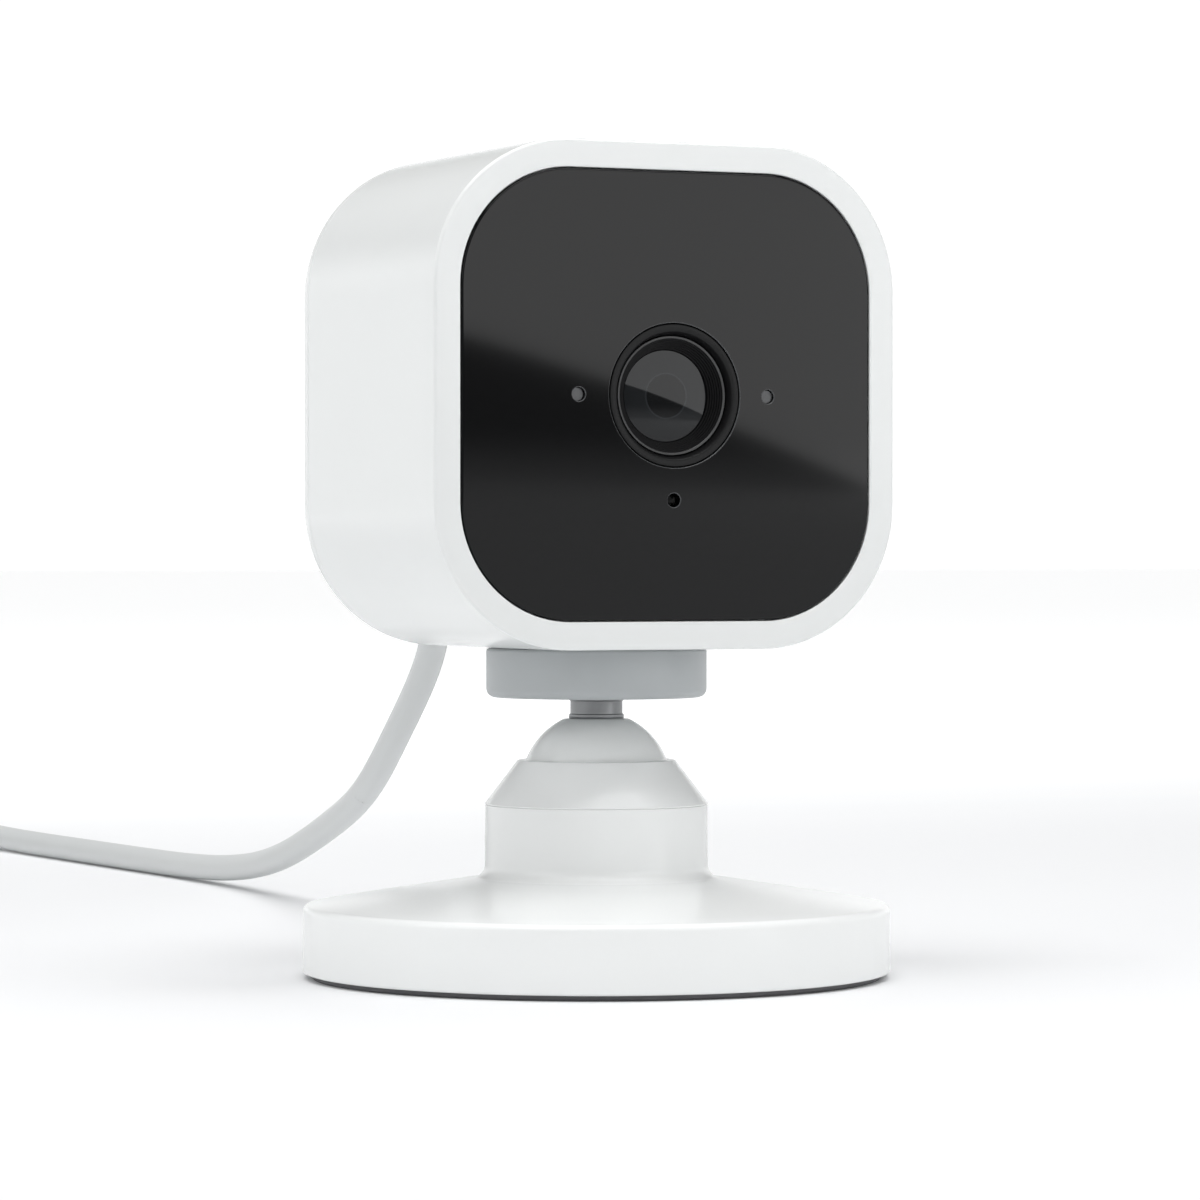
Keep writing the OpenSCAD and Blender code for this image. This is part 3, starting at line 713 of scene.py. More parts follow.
@dataclass
class Stand:
    """The disc with its column, the collar and the rubber foot."""

    disc_r: float = 29.65
    rim_z: float = 7.3
    dome_z: float = 10.0
    column_r: float = 11.25
    column_z: float = 17.4
    collar_z: float = 21.92
    collar_r: float = 8.1
    mouth_r: float = 7.15
    foot_r: float = 28.85
    foot_t: float = 0.5
    wall: float = 1.6
    socket_r: float = 7.66

    def cover(self) -> None:
        """The white shell: wall, shallow cone and column."""
        outer = [(self.disc_r - self.wall, self.foot_t + 0.06), (self.disc_r - 0.3, self.foot_t + 0.06)]
        outer += arc((self.disc_r - 0.3, self.foot_t + 0.36), 0.3, -60, 0, 3)
        outer += arc((self.disc_r - 0.7, self.rim_z - 0.62), 0.7, 0, 81, 8)
        fillet = 1.3
        foot_x = self.column_r + 0.05 + fillet
        outer += [(self.disc_r - (self.disc_r - foot_x) * k / 6,
                   self.rim_z + (self.dome_z - self.rim_z) * k / 6) for k in range(1, 6)]
        outer += arc((foot_x, self.dome_z + fillet), fillet, 261, 180, 8)
        outer += [(self.column_r + 0.02, self.column_z - 3), (self.column_r, self.column_z - 0.12)]
        outer += arc((self.column_r - 0.1, self.column_z - 0.1), 0.1, 0, 90, 4)
        inner = [(10.25, self.column_z), (10.25, 13.9), (9.7, 13.9), (9.7, 8.6), (3.0, 8.6),
                 (3.0, 6.9), (9.7, 6.9), (11.2, 8.0), (self.disc_r - self.wall, self.rim_z - self.wall)]
        turned("base_cover_shell", outer + inner, BASE_WHITE, Body.STAND, "white_shell",
               "base_cover", 192, closed=True)

    def collar(self) -> None:
        """The cone that closes the socket over the ball."""
        top = self.collar_z
        outer = [(self.column_r - 0.08, self.column_z + 0.01)]
        outer += arc((self.column_r - 0.1, self.column_z + 0.11), 0.1, -50, 35, 5)
        outer += arc((self.collar_r - 0.3, top - 0.3), 0.3, 35, 90, 4)
        outer += arc((self.mouth_r + 0.06, top - 0.06), 0.06, 90, 190, 4)
        outer += [(math.sqrt(self.socket_r ** 2 - (z - BALL_Z) ** 2), z)
                  for z in (21, 20, BALL_Z, 18.2, 17.1)]
        outer += [(9.68, 17.1), (9.68, 14.0), (10.15, 14.0), (10.15, self.column_z + 0.02)]
        turned("socket_collar_ring", outer, BASE_WHITE, Body.STAND, "white_shell",
               "socket_collar", 160, closed=True)

    def foot(self) -> None:
        """The rubber ring that the stand rests on, with a soft lower edge."""
        profile = [(21.0, self.foot_t), (21.0, 0.15), (21.2, 0.0), (self.foot_r - 0.2, 0.0),
                   (self.foot_r, 0.2), (self.foot_r, self.foot_t)]
        turned("foot_ring", profile, FOOT_RUBBER, Body.STAND, "foot_rubber", "foot_pad", 160,
               closed=True)

    def build(self) -> None:
        """Makes every piece of the stand."""
        self.cover()
        self.collar()
        self.foot()
        dress(PLATE, "mount_plate")
        dress(STEEL, "spring_washer")
        dress(SEAT, "ball_seat")
        dress(SOFT_RUBBER, "friction_pad")


@dataclass
class Neck:
    """The ball, its stem and the puck under the housing."""

    ball_z: float = BALL_Z
    ball_r: float = 7.62
    flat_r: float = 3.22
    stem_r: float = 2.78
    puck_r: float = 11.15
    puck_z: float = 28.206
    top_z: float = 33.306

    def ball(self) -> None:
        """The ball with its flat top and a small edge round."""
        start = math.degrees(math.acos(self.flat_r / self.ball_r))
        flat_z = self.ball_z + self.ball_r * math.sin(math.radians(start))
        profile = [(0.0, flat_z), (self.flat_r - 0.25, flat_z), (self.flat_r - 0.08, flat_z - 0.03)]
        profile += arc((0.0, self.ball_z), self.ball_r, start - 0.6, -90, 64)
        profile[-1] = (0.0, self.ball_z - self.ball_r)
        turned("joint_ball", profile, WHITE, Body.HEAD, "white_shell", "ball")

    def stem(self) -> None:
        """The dark turned rod, with a shoulder ring at each end."""
        low, high = self.ball_z + 6.85, self.puck_z + 0.3
        profile = [(0.0, low), (self.stem_r - 0.1, low), (self.stem_r, low + 0.12),
                   (self.stem_r, low + 0.45), (self.stem_r - 0.14, low + 0.55),
                   (self.stem_r - 0.14, self.puck_z - 0.35), (self.stem_r, self.puck_z - 0.25),
                   (self.stem_r, high), (0.0, high)]
        turned("stem_rod", profile, STEM_METAL, Body.HEAD, "dark_stem", "stem", 96)

    def puck(self) -> None:
        """The grey block with round edges and a shadow line under the housing."""
        r, low, top = self.puck_r, self.puck_z, self.top_z
        profile = [(0.0, low), (self.stem_r + 0.5, low), (self.stem_r + 0.7, low + 0.04)]
        profile += [(r - 0.9, low + 0.04)] + arc((r - 0.9, low + 0.94), 0.9, -90, 0, 8)
        profile += arc((r - 0.35, top - 0.45), 0.35, 0, 80, 5)
        profile += [(r - 0.5, top - 0.08), (r - 0.5, top), (0.0, top)]
        turned("puck_block", profile, PUCK_GREY, Body.HEAD, "grey_puck", "puck", 144)

    def build(self) -> None:
        """Makes the pieces between stand and housing."""
        self.ball()
        self.stem()
        self.puck()
        dress(STEEL, "puck_screw")


# ---------------------------------------------------------------- the housing


@dataclass
class Housing:
    """The white square tube, its back and everything on the back."""

    width: float = 50.0
    height: float = 49.8
    corner: float = 14.4
    middle_z: float = HEAD_Z
    front_y: float = FRONT_Y
    seam_y: float = 15.7
    back_y: float = 19.1
    edge_r: float = 2.8
    wall: float = 1.8
    rim: float = 2.8
    port_z: float = PORT_Z
    speaker_z: float = 66.206
    per_corner: int = 24
    holes: list[list[Flat]] = field(default_factory=list)

    def outline(self, inset: float) -> list[Flat]:
        """The housing's outline, moved inwards by inset."""
        return soft_square(self.width - 2 * inset, self.height - 2 * inset, self.corner - inset,
                           self.per_corner, (0.0, self.middle_z))

    def front(self) -> None:
        """The tube with its rim, the panel's pocket and the ledge in it."""
        f, edge, lip = self.front_y, 0.38, 0.16
        rows = [(0.0, self.seam_y), (0.0, f + edge)]
        rows += [(edge * (1 - math.cos(a)), f + edge * (1 - math.sin(a)))
                 for a in (math.radians(d) for d in (22, 45, 68, 90))]
        rows += [(self.rim - lip, f), (self.rim - 0.05, f + 0.05), (self.rim, f + lip),
                 (self.rim, f + 2.2), (self.rim + 1.8, f + 2.2), (self.rim + 1.8, f + 3.8),
                 (self.wall, f + 3.8), (self.wall, self.seam_y)]
        draft = Draft()
        draft.stack([(self.outline(i), y) for i, y in rows], closed=True)
        for sx in (-1, 1):
            for sz in (-1, 1):
                at = (sx * 17.95, self.middle_z + sz * 17.85)
                boss = circle(2.6, 24, at)
                bore = circle(0.85, 24, at)
                draft.stack([(boss, -13.3), (boss, -3.0), (bore, -3.0), (bore, -9.0)],
                            cap_first=True, cap_last=True)
        piece = draft.build("front_shell", [WHITE], 40)
        weigh_normals(piece)
        install(piece, Body.HEAD, "white_shell", "front_housing")

    def back(self) -> None:
        """The cover with its round edge, port recess, button hole and speaker holes."""
        y0, y1, e = self.seam_y, self.back_y, self.edge_r
        inside = y1 - self.wall
        rows = [(self.wall, y0 + 0.04), (0.05, y0 + 0.04), (0.0, y0 + 0.09), (0.0, y1 - e)]
        rows += [(e * (1 - math.cos(a)), y1 - e * (1 - math.sin(a)))
                 for a in (math.radians(90 * k / 12) for k in range(1, 13))]
        draft = Draft()
        draft.stack([(self.outline(i), y) for i, y in rows])
        inner = self.outline(e)
        draft.stack([(self.outline(self.wall), y0 + 0.04), (inner, y0 + 1.0), (inner, inside)])
        recess = soft_square(11.3, 7.5, 2.0, 10, (0.0, self.port_z))
        mouth = soft_square(8.0, 3.2, 0.8, 10, (0.0, self.port_z))
        button = circle(1.56, 40, (BUTTON_X, self.port_z))
        sound = [circle(0.6, 20, (2.5 * k * math.cos(a), self.speaker_z + 2.5 * k * math.sin(a)))
                 for k in range(3) for a in
                 ([0.0] if k == 0 else [2 * math.pi * i / (6 * k) for i in range(6 * k)])]
        draft.plate(inner, [recess, button, *sound], lambda x, z: y1)
        draft.plate(inner, [mouth, button, *sound], lambda x, z: inside)
        draft.stack([(recess, y1), (recess, y1 - 1.2)])
        draft.plate(recess, [mouth], lambda x, z: y1 - 1.2)
        draft.stack([(mouth, y1 - 1.2), (mouth, inside)])
        for hole in (button, *sound):
            draft.stack([(hole, y1), (hole, inside)])
        piece = draft.build("back_cover", [WHITE], 40)
        install(piece, Body.HEAD, "white_shell", "rear_cover")

    def button(self) -> None:
        """The reset button with a dished end."""
        inside = self.back_y - self.wall
        profile = [(0.0, 15.7), (0.8, 15.7), (0.8, inside - 0.7), (2.3, inside - 0.7),
                   (2.3, inside - 0.1), (1.5, inside - 0.1), (1.5, self.back_y - 0.42)]
        profile += arc((1.38, self.back_y - 0.42), 0.12, 0, 90, 4)
        profile += [(0.9, self.back_y - 0.36), (0.45, self.back_y - 0.42), (0.0, self.back_y - 0.44)]
        turned("reset_cap", profile, PUCK_GREY, Body.BUTTON, "grey_puck", "reset_button", 48,
               place=about_lens(BUTTON_X, self.port_z))

    def build(self) -> None:
        """Makes the housing's pieces."""
        self.front()
        self.back()
        self.button()


# ---------------------------------------------------------------- front panel and lens


@dataclass
class FrontPanel:
    """The black crowned panel with its ports."""

    half: float = 22.08
    half_z: float = 21.98
    corner: float = 11.48
    front_y: float = FRONT_Y
    crown: float = 1.5
    back_y: float = -15.0
    middle_z: float = HEAD_Z
    port_x: float = 10.25
    port_r: float = 0.68
    lens_r: float = 7.08
    edge: float = 0.16

    def share(self, x: float, z: float) -> float:
        """How far out a place lies, from 0 at the middle to 1 at the panel's edge."""
        ax, az = abs(x) / self.half, abs(z - self.middle_z) / self.half_z
        flat = 1 - self.corner / self.half
        high = max(ax, az)
        if high <= 1e-9 or min(ax, az) <= flat * high:
            return high
        r = 1 - flat
        a = flat * flat * 2 - r * r
        b = -2 * flat * (ax + az)
        c = ax * ax + az * az
        return (-b - math.sqrt(max(b * b - 4 * a * c, 0.0))) / (2 * a)

    def depth(self, x: float, z: float) -> float:
        """The panel's front at a place, as y."""
        s = self.share(x, z)
        return self.front_y - self.crown * (1 - s * s)

    def normal(self, at: Vector) -> Vector | None:
        """Direction of the crowned front, turning evenly from its middle out; None off it."""
        x, y, z = at
        if self.share(x, z) > 0.9935 or abs(y - self.depth(x, z)) > 0.01:
            return None
        lean = 2 * self.crown
        return Vector((lean * x / self.half ** 2, -1.0,
                       lean * (z - self.middle_z) / self.half_z ** 2)).normalized()

    def scaled(self, s: float) -> list[Flat]:
        """The panel's outline shrunk towards its middle."""
        points = soft_square(2 * self.half, 2 * self.half_z, self.corner, 20,
                             (0.0, 0.0), 14)
        return [(x * s, self.middle_z + z * s) for x, z in points]

    @staticmethod
    def widen(hole: Sequence[Flat], by: float = 0.09) -> list[Flat]:
        """A round hole's edge moved outwards, for its chamfer."""
        cx = sum(p[0] for p in hole) / len(hole)
        cz = sum(p[1] for p in hole) / len(hole)
        grow = 1 + by / math.hypot(hole[0][0] - cx, hole[0][1] - cz)
        return [(cx + (x - cx) * grow, cz + (z - cz) * grow) for x, z in hole]

    def sheet(self) -> None:
        """The panel itself: crowned front, rounded edge and port holes."""
        rim = self.scaled(1.0)
        lens = circle(self.lens_r, 120, (0.0, self.middle_z))
        ports = [circle(self.port_r, 32, at) for at in
                 ((-self.port_x, self.middle_z), (self.port_x, self.middle_z),
                  (0.0, self.middle_z - self.port_x))]
        inset = 1 - self.edge / self.half
        border = [(x * inset, self.middle_z + (z - self.middle_z) * inset) for x, z in rim]
        loose = []
        for k in range(3, 48):
            for x, z in self.scaled(inset * k / 48)[::2 if k > 20 else 4]:
                clear = min(math.hypot(x - p[0], z - p[1]) for port in ports for p in port[::4])
                if math.hypot(x, z - self.middle_z) > self.lens_r + 0.25 and clear > 0.35:
                    loose.append((x, z))
        draft = Draft()
        wide = [self.widen(hole) for hole in (lens, *ports)]
        draft.plate(border, wide, self.depth, loose)
        flat = self.depth(self.half * inset, self.middle_z)
        rows = [(border, flat)]
        for degrees in (25, 50, 75, 90):
            a = math.radians(degrees)
            grow = inset + (1 - inset) * math.sin(a)
            rows.append(([(x * grow, self.middle_z + (z - self.middle_z) * grow) for x, z in rim],
                         flat + self.edge * (1 - math.cos(a))))
        rows.append((rim, self.back_y))
        first = draft.ring((x, self.depth(x, z), z) for x, z in border)
        rings = draft.stack(rows[1:])
        draft.bridge(first, rings[0])
        draft.plate(rim, [lens, *ports], lambda x, z: self.back_y)
        for hole, mouth in zip((lens, *ports), wide):
            front = draft.ring((x, self.depth(x, z), z) for x, z in mouth)
            step = draft.ring((x, self.depth(x, z) + 0.1, z) for x, z in hole)
            back = draft.ring((x, self.back_y, z) for x, z in hole)
            # the chamfer takes the lighter colour, a painted highlight round the hole
            draft.slot = 1
            draft.bridge(front, step)
            draft.slot = 0
            draft.bridge(step, back)
        piece = draft.build("crowned_panel", [PANEL, EDGE], 34, self.normal)
        install(piece, Body.HEAD, "black_panel", "front_panel")

    def build(self) -> None:
        """Makes the panel and dresses what sits in its ports."""
        self.sheet()
        dress(SOFT_RUBBER, "panel_gasket", "mic_boot")
        dress(PIPE, "status_light_pipe", "sensor_light_pipe")


@dataclass
class Lens:
    """The trim ring, the stepped barrel and the glass in it."""

    crown_y: float = -18.4
    trim_r: float = 7.0
    barrel_r: float = 5.85
    glass_r: float = 4.47
    stop_r: float = 2.24
    middle_z: float = HEAD_Z

    def behind(self, profile: Sequence[Flat]) -> list[Flat]:
        """A profile of radius and depth behind the panel's crown, with its depths as y."""
        return [(radius, self.crown_y + depth) for radius, depth in profile]

    def ring(self, name: str, bands: Sequence[tuple[Sequence[Flat], int]],
             finishes: Sequence[Finish], sharp: float, node: str) -> None:
        """Installs a black ring made of turned bands.

        Args:
            name: the piece's name.
            bands: each band's profile of radius and depth, and its finish's number.
            finishes: the finishes.
            sharp: edges that turn more than this many degrees stay sharp.
            node: the CAD node that it stands for.
        """
        draft = Draft()
        for profile, slot in bands:
            draft.slot = slot
            draft.turn(self.behind(profile), place=about_lens(0.0, self.middle_z))
        install(draft.build(name, finishes, sharp), Body.HEAD, "black_part", node)

    def element(self, name: str, profile: Sequence[Flat], finish: Finish, node: str) -> None:
        """Installs a turned glass element."""
        turned(name, self.behind(profile), finish, Body.HEAD, "lens_glass", node,
               place=about_lens(0.0, self.middle_z))

    def trim(self) -> None:
        """The satin ring at the panel and the dark cone inside it."""
        r = self.trim_r
        band = [(r, 3.45), (r, 0.32), (r - 0.08, 0.2), (r - 0.2, 0.17), (r - 0.62, 0.2),
                (r - 0.74, 0.26)]
        cone = [(r - 0.74, 0.26), (r - 0.8, 0.34), (self.barrel_r + 0.12, 0.84),
                (self.barrel_r + 0.1, 4.2), (r + 1, 4.2), (r + 1, 3.45), (r, 3.45)]
        self.ring("lens_trim_ring", [(band, 0), (cone, 1)], [TRIM_METAL, BAFFLE], 40, "lens_trim")

    def barrel(self) -> None:
        """The barrel: a thin rim in a lighter colour as a painted highlight, a ridged black cone and
        the threaded tail.
        """
        r = self.barrel_r
        rim = [(r, 9.2), (r, 0.98), (r - 0.05, 0.9), (r - 0.2, 0.9), (r - 0.26, 0.97)]
        ridges = []
        start, end = (r - 0.26, 0.97), (self.glass_r + 0.12, 2.25)
        for k in range(6):
            a = start[0] + (end[0] - start[0]) * k / 6
            s = start[1] + (end[1] - start[1]) * k / 6
            ridges += [(a, s), (a - 0.03, s + 0.17)]
        ridges += [end, (self.glass_r + 0.05, 2.4), (self.glass_r + 0.05, 6.9), (3.75, 6.9),
                   (3.75, 12.8), (4.95, 12.8), (4.95, 9.2), (r, 9.2)]
        self.ring("lens_barrel_tube", [(rim, 0), (ridges, 1)], [RIM_METAL, BAFFLE], 30,
                  "lens_barrel")

    def glass(self) -> None:
        """The bulged front element, the stop behind it and the coated inner element."""
        g, bulge = self.glass_r, 0.3
        ball = (g * g + bulge * bulge) / (2 * bulge)
        sweep = math.degrees(math.asin(g / ball))
        face = [(ball * math.sin(math.radians(sweep * k / 16)),
                 2.4 - bulge + ball * (1 - math.cos(math.radians(sweep * k / 16))))
                for k in range(17)]
        self.element("front_element", [*face, (g, 3.0), (g - 0.5, 3.05), (0.0, 3.05)], GLASS,
                     "front_lens")
        stop = [(g, 3.1), (3.6, 3.14), (self.stop_r + 0.25, 3.5), (self.stop_r + 0.06, 3.52),
                (self.stop_r, 3.6), (self.stop_r + 0.1, 3.9), (g, 3.9)]
        # the rim band takes the light grey, a painted highlight
        self.ring("aperture_ring", [(stop[:3], 0), (stop[2:5], 1), (stop[4:] + stop[:1], 0)],
                  [BAFFLE, STOP_RIM], 40, "aperture_stop")
        dome = [(0.0, 4.15), (0.8, 4.2), (1.6, 4.36), (2.4, 4.62), (3.2, 4.98), (g, 5.6), (g, 6.7),
                (0.0, 6.7)]
        self.element("inner_element", dome, INNER_GLASS, "rear_lens")

    def build(self) -> None:
        """Makes the lens and dresses what is behind it."""
        self.trim()
        self.barrel()
        self.glass()
        dress(BLACK_PART, "lens_holder")
        dress(INNER_GLASS, "ir_filter")
        dress(CHIP, "image_sensor")


class Electronics:
    """The boards and parts inside, which keep their CAD shapes."""

    FINISHES: tuple[tuple[Finish, tuple[str, ...]], ...] = (
        (BOARD, ("led_board", "main_board", "power_board")),
        (CHIP, ("processor", "reset_switch", "light_sensor")),
        (LED_RESIN, ("ir_leds", "status_led")),
        (STEEL, ("microphone", "shield_can", "board_screws", "usb_receptacle")),
        (ALUMINIUM, ("heat_spreader",)),
        (GOLD, ("antenna",)),
        (SOFT_RUBBER, ("thermal_pad", "speaker_gasket")),
        (BLACK_PART, ("speaker",)),
    )

    def build(self) -> None:
        """Dresses every inner node."""
        for finish, nodes in self.FINISHES:
            dress(finish, *nodes)


# ---------------------------------------------------------------- the power lead


@dataclass
class PowerLead:
    """The lead from the camera's plug to its coil and its far plug."""

    diameter: float = 3.3
    exit_y: float = 39.1
    port_z: float = PORT_Z
    boot_y: float = 30.1
    grip_y: float = 18.1
    coil_centre: Flat = (-11.4, 258.0)
    outer_turn: float = 24.4
    pitch: float = 3.4
    layer: float = 3.3
    turns: float = 14.5
    plug_x: float = -37.5
    plug_y: float = 212.0
    near_spans: int = 5
    far_spans: int = 7
    route: list[Point] = field(default_factory=lambda: [
        (0, 39.1, 43.506), (0, 46.1, 43.506), (5, 54, 40.5), (8.5, 60, 32.5), (7, 69, 22.5),
        (8.5, 82, 14.5), (10.3, 98, 10.2), (12.4, 116, 5.8), (14.5, 134, 3), (15, 152, 1.8),
        (14.5, 170, 1.7), (14, 188, 1.7), (13.5, 206, 1.7), (13, 224, 1.7), (13, 245, 2)])
    tail: list[Point] = field(default_factory=lambda: [
        (-35.8, 262, 12.1), (-35.9, 252, 11.9), (-36.2, 243, 10.6), (-36.8, 234, 8.2),
        (-37.3, 225, 5.7), (-37.5, 217, 4), (-37.5, 212, 4)])

    @staticmethod
    def smooth(points: Sequence[Point], steps: int = SPAN_STEPS) -> list[Vector]:
        """The smooth curve that the points shape.

        Args:
            points: the given points.
            steps: how many pieces each span is cut into.

        Returns:
            Points on the curve, starting and ending on the first and last.
        """
        p = [Vector(x) for x in points]
        p = [2 * p[0] - p[1], *p, 2 * p[-1] - p[-2]]
        line: list[Vector] = []
        for a, b, c, d in zip(p, p[1:], p[2:], p[3:]):
            for k in range(steps):
                t = k / steps
                line.append((a * (1 - t) ** 3 + b * (3 * t ** 3 - 6 * t * t + 4)
                             + c * (1 + 3 * t + 3 * t * t - 3 * t ** 3) + d * t ** 3) / 6)
        line.append(p[-2])
        return line

    def winding(self) -> list[Vector]:
        """The coil's centre line: four layers of four turns, in and out again."""
        events: list[tuple[float, str, int]] = []
        angle = 335.0
        for layer in range(4):
            way = -1 if layer % 2 == 0 else 1
            for _ in range(3):
                events.append((angle, "shift", way))
                angle += 360
            angle -= 60
            events.append((angle, "climb", 1))
            angle += 300
        line = []
        total = int(self.turns * 360)
        for degrees in range(0, total + 1, 8):
            radius, z = self.outer_turn, 0.5 + self.diameter / 2
            for centre, kind, way in events:
                t = min(1.0, max(0.0, (degrees - centre + 26) / 52))
                done = t * t * (3 - 2 * t)
                if kind == "shift":
                    radius += way * self.pitch * done
                elif centre < total - 60:
                    z += self.layer * done
            a = math.radians(degrees)
            line.append(Vector((self.coil_centre[0] + radius * math.cos(a),
                                self.coil_centre[1] + radius * math.sin(a), z)))
        return line

    @staticmethod
    def length(line: Sequence[Vector]) -> float:
        """Length of a line, in metres."""
        return sum((b - a).length for a, b in zip(line, line[1:])) * MM

    def section(self, name: str, line: Sequence[Vector]) -> bpy.types.Object:
        """One tube of the lead's own thickness."""
        draft = Draft()
        draft.tube(line, self.diameter / 2, 20)
        piece = draft.build(name, [CORD_WHITE], 50)
        LOG.info("%s is %.3f m long", name, self.length(line))
        return piece

    def declare(self, line: Sequence[Vector]) -> None:
        """Works out the line's points in metres and keeps nothing."""
        tuple(line[0] * MM)
        [tuple(p * MM) for p in line]

    def lay(self) -> None:
        """Lays the lead: two lengths from the camera down to the table, and the rest on the table,
        which rides on the pan seat.
        """
        curve = self.smooth(self.route)
        split, end = self.near_spans * SPAN_STEPS, self.far_spans * SPAN_STEPS
        near = curve[:split + 1]
        far = curve[split:end + 1]
        wound = self.winding()
        tail = self.smooth([tuple(wound[-1]), *self.tail[1:]])
        rest = curve[end:] + wound + tail[1:]
        plug = self.far_plug()
        near_piece = self.section("lead_at_camera", near)
        far_piece = self.section("lead_to_table", far)
        rest_piece = self.section("lead_on_table", rest)
        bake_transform(near_piece)
        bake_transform(far_piece)
        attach(rest_piece, "pan_seat")
        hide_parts("cord_lead")
        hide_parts("cord_floor", "cord_coil")
        self.declare(near)
        self.declare(far)
        self.declare(rest)

    def grip_outlines(self, x: float, z: float, width: float, height: float, corner: float,
                      rows: Sequence[Flat]) -> list[tuple[list[Flat], float]]:
        """Outlines of a moulded grip.

        Args:
            x: its middle.
            z: its middle height.
            width: along X.
            height: along Z.
            corner: corner radius.
            rows: inset and y of each outline.

        Returns:
            The outlines with their y.
        """
        return [(soft_square(width - 2 * i, height - 2 * i, max(corner - i, 0.2), 8, (x, z)), y)
                for i, y in rows]

    def plug_body(self, name: str, x: float, z: float, width: float, height: float,
                  y0: float, y1: float, node: str, body: Body) -> bpy.types.Object:
        """A moulded grip with round ends and finger ridges across its middle."""
        rows: list[Flat] = [(0.9, y0), (0.45, y0 + 0.1), (0.12, y0 + 0.4), (0.0, y0 + 0.9)]
        ridge_gap = (y1 - y0 - 5.0) / 6
        for k in range(6):
            y = y0 + 2.6 + ridge_gap * k
            rows += [(0.0, y), (0.22, y + 0.18), (0.22, y + ridge_gap * 0.4),
                     (0.0, y + ridge_gap * 0.55)]
        rows += [(0.0, y1 - 1.6), (0.25, y1 - 0.8), (0.7, y1 - 0.25), (1.4, y1)]
        draft = Draft()
        draft.stack(self.grip_outlines(x, z, width, height, 2.0, rows), cap_first=True,
                    cap_last=True)
        piece = draft.build(name, [PLUG_WHITE], 50)
        return install(piece, body, "cord_jacket", node)

    def boot(self, name: str, x: float, z: float, wide_y: float, thin_y: float, node: str,
             body: Body) -> bpy.types.Object:
        """A tapered strain relief with notched segments, open to the lead at its thin end."""
        way = 1 if thin_y > wide_y else -1
        span = abs(thin_y - wide_y)
        profile: list[Flat] = [(0.0, wide_y), (2.95, wide_y)]
        for k in range(5):
            share = (k + 0.5) / 5.4
            radius = 2.95 - 0.85 * share
            y = wide_y + way * span * share
            profile += [(radius, y), (radius - 0.3, y + way * 0.16), (radius - 0.3, y + way * 0.62),
                        (radius - 0.04, y + way * 0.78)]
        profile += [(2.08, thin_y - way * 0.25), (1.9, thin_y), (0.0, thin_y)]
        return turned(name, profile, PLUG_WHITE, body, "cord_jacket", node, 48,
                      place=about_lens(x, z))

    def near_plug(self) -> None:
        """The plug in the camera: metal shell, grip and strain relief."""
        self.plug_body("camera_plug_grip", 0.0, self.port_z, 10.8, 7.0, self.grip_y, self.boot_y,
                       "plug_grip", Body.HEAD)
        self.boot("camera_plug_boot", 0.0, self.port_z, self.boot_y, self.exit_y, "plug_boot",
                  Body.HEAD)
        dress(NICKEL, "usb_shell")

    def far_plug(self) -> list[object]:
        """The plug at the lead's other end, lying on the table.

        Returns:
            Its pieces.
        """
        x, z, y = self.plug_x, 4.0, self.plug_y
        boot = self.boot("far_plug_boot", x, z, y - 9, y, "supply_boot", Body.PAN_SEAT)
        grip = self.plug_body("far_plug_grip", x, z, 15.4, 8.0, y - 29, y - 9, "supply_grip",
                              Body.PAN_SEAT)
        dress(NICKEL, "supply_shell")
        dress(CHIP, "cord_tie")
        return [boot, grip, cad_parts["supply_shell"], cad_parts["cord_tie"]]

    def build(self) -> None:
        """Makes the lead and both of its plugs."""
        self.near_plug()
        self.lay()


# ---------------------------------------------------------------- the studio


@dataclass
class Softbox:
    """A rectangular light that looks at a point."""

    name: str
    place: Point
    target: Point
    size: Flat
    power: float
    roll: float = 0.0

    def build(self) -> None:
        """Makes the light."""
        data = bpy.data.lights.new(self.name, "AREA")
        data.shape = "RECTANGLE"
        data.size, data.size_y = self.size
        data.energy = self.power
        lamp = bpy.data.objects.new(self.name, data)
        lamp.location = self.place
        way = Vector(self.target) - Vector(self.place)
        turn = Quaternion((0.0, 0.0, 1.0), math.radians(self.roll))
        lamp.rotation_euler = (way.to_track_quat("-Z", "Y") @ turn).to_euler()
        lamp.visible_camera = False
        bpy.context.scene.collection.objects.link(lamp)


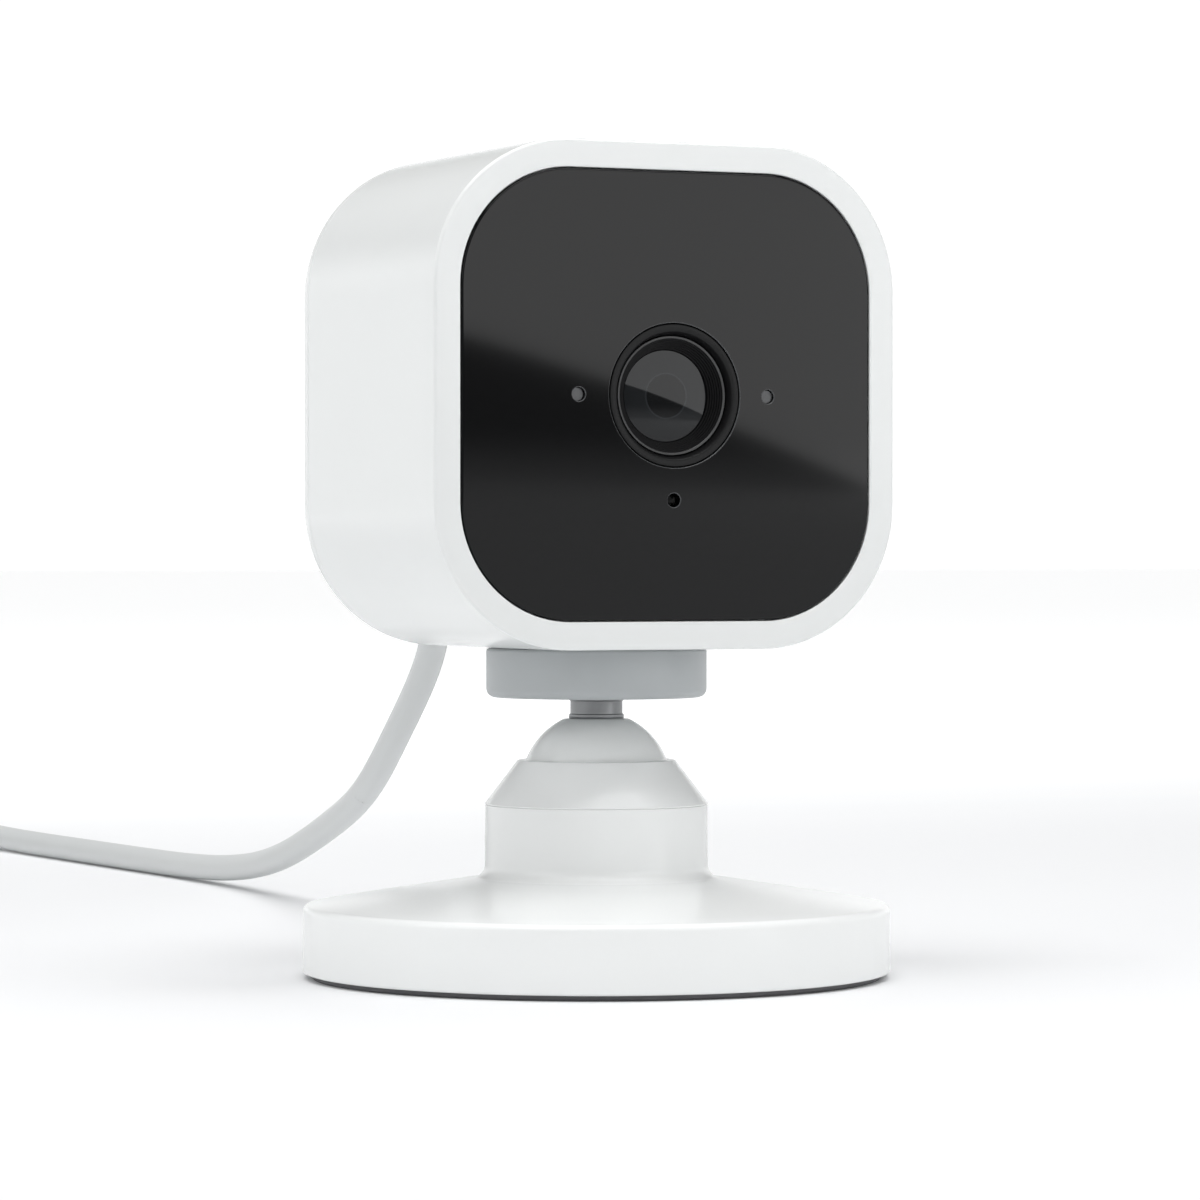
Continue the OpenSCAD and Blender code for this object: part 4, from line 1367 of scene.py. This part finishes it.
@dataclass
class Studio:
    """Camera, pale floor, soft lights and surroundings."""

    distance: float = 0.5048
    eye_z: float = 0.04267
    yaw: float = 24.89
    aim_offset: float = 0.0413
    pitch: float = 0.524
    lens_mm: float = 149.8
    all_round: float = 0.22
    backdrop: float = 1.08
    boxes: list[Softbox] = field(default_factory=lambda: [
        Softbox("front card", (0.267, -0.555, 0.197), (-0.005, -0.021, 0.197),
                (0.60, 0.25), 1.02, -17.2),
        Softbox("left bank", (-1.1, -0.15, 0.55), (0.0, 0.0, 0.05), (0.9, 0.7), 3.2),
        Softbox("top bank", (0.0, -0.1, 1.1), (0.0, 0.0, 0.0), (1.3, 1.0), 14.5),
    ])

    def camera(self) -> None:
        """The viewing camera."""
        data = bpy.data.cameras.new("view")
        data.sensor_width = 36.0
        data.lens = self.lens_mm
        data.clip_start, data.clip_end = 0.01, 50.0
        eye = bpy.data.objects.new("view", data)
        yaw = math.radians(self.yaw)
        eye.location = (-self.distance * math.sin(yaw), -self.distance * math.cos(yaw), self.eye_z)
        eye.rotation_euler = (math.radians(90 - self.pitch), 0.0,
                              -math.radians(self.yaw + self.aim_offset))
        bpy.context.scene.collection.objects.link(eye)
        bpy.context.scene.camera = eye

    def floor(self) -> None:
        """A wide pale floor that glows towards the horizon, like a lit backdrop."""
        mesh = bpy.data.meshes.new("floor")
        reach = 12.0
        mesh.from_pydata([(-reach, -reach, 0), (reach, -reach, 0), (reach, reach, 0),
                          (-reach, reach, 0)], [], [(0, 1, 2, 3)])
        made = bpy.data.materials.new("pale studio floor")
        made.use_nodes = True
        sheet = NodeSheet(made.node_tree)
        place = sheet.place()
        far = sheet.smooth_step(sheet.part(place, 1), 0.1, 0.8)
        glow = sheet.blend(far, (0.0, 0.0, 0.0), (0.74, 0.74, 0.74))
        cloud = sheet.noise(3.0)
        shader = sheet.add("ShaderNodeBsdfPrincipled", None, {
            "Base Color": sheet.blend(cloud, (0.815, 0.82, 0.83), (0.825, 0.83, 0.84)),
            "Roughness": 0.6, "Specular IOR Level": 0.2, "Emission Color": glow,
            "Emission Strength": 1.0})
        sheet.add("ShaderNodeOutputMaterial", None, {"Surface": shader})
        mesh.materials.append(made)
        slab = bpy.data.objects.new("floor", mesh)
        bpy.context.scene.collection.objects.link(slab)

    def surroundings(self) -> None:
        """Soft light all round and a white band at the horizon."""
        world = bpy.data.worlds.new("studio")
        world.use_nodes = True
        sheet = NodeSheet(world.node_tree)
        look = sheet.add("ShaderNodeTexCoord", output="Generated")
        rise = sheet.part(look, 2)
        band = (1.0 - sheet.smooth_step(rise, 0.13, 0.3)) * \
            sheet.smooth_step(sheet.part(look, 1), -0.5, 0.0)
        level = band * (self.backdrop - self.all_round) + self.all_round
        light = sheet.add("ShaderNodeBackground", None,
                          {"Color": (0.99, 0.997, 1.0, 1.0), "Strength": level})
        sheet.add("ShaderNodeOutputWorld", None, {"Surface": light})
        bpy.context.scene.world = world
        bpy.context.scene.view_settings.view_transform = "Standard"

    def build(self) -> None:
        """Sets up the studio."""
        self.camera()
        self.floor()
        self.surroundings()
        for box in self.boxes:
            box.build()


def main() -> None:
    """Builds the studio, the lead and every part of the camera."""
    logging.basicConfig(level=logging.INFO, format="%(message)s")
    for part in (Studio(), PowerLead(), Stand(), Neck(), Housing(), FrontPanel(), Lens(),
                 Electronics()):
        LOG.info("building %s", type(part).__name__)
        part.build()
    bpy.context.view_layer.update()


if __name__ == "__main__":
    main()
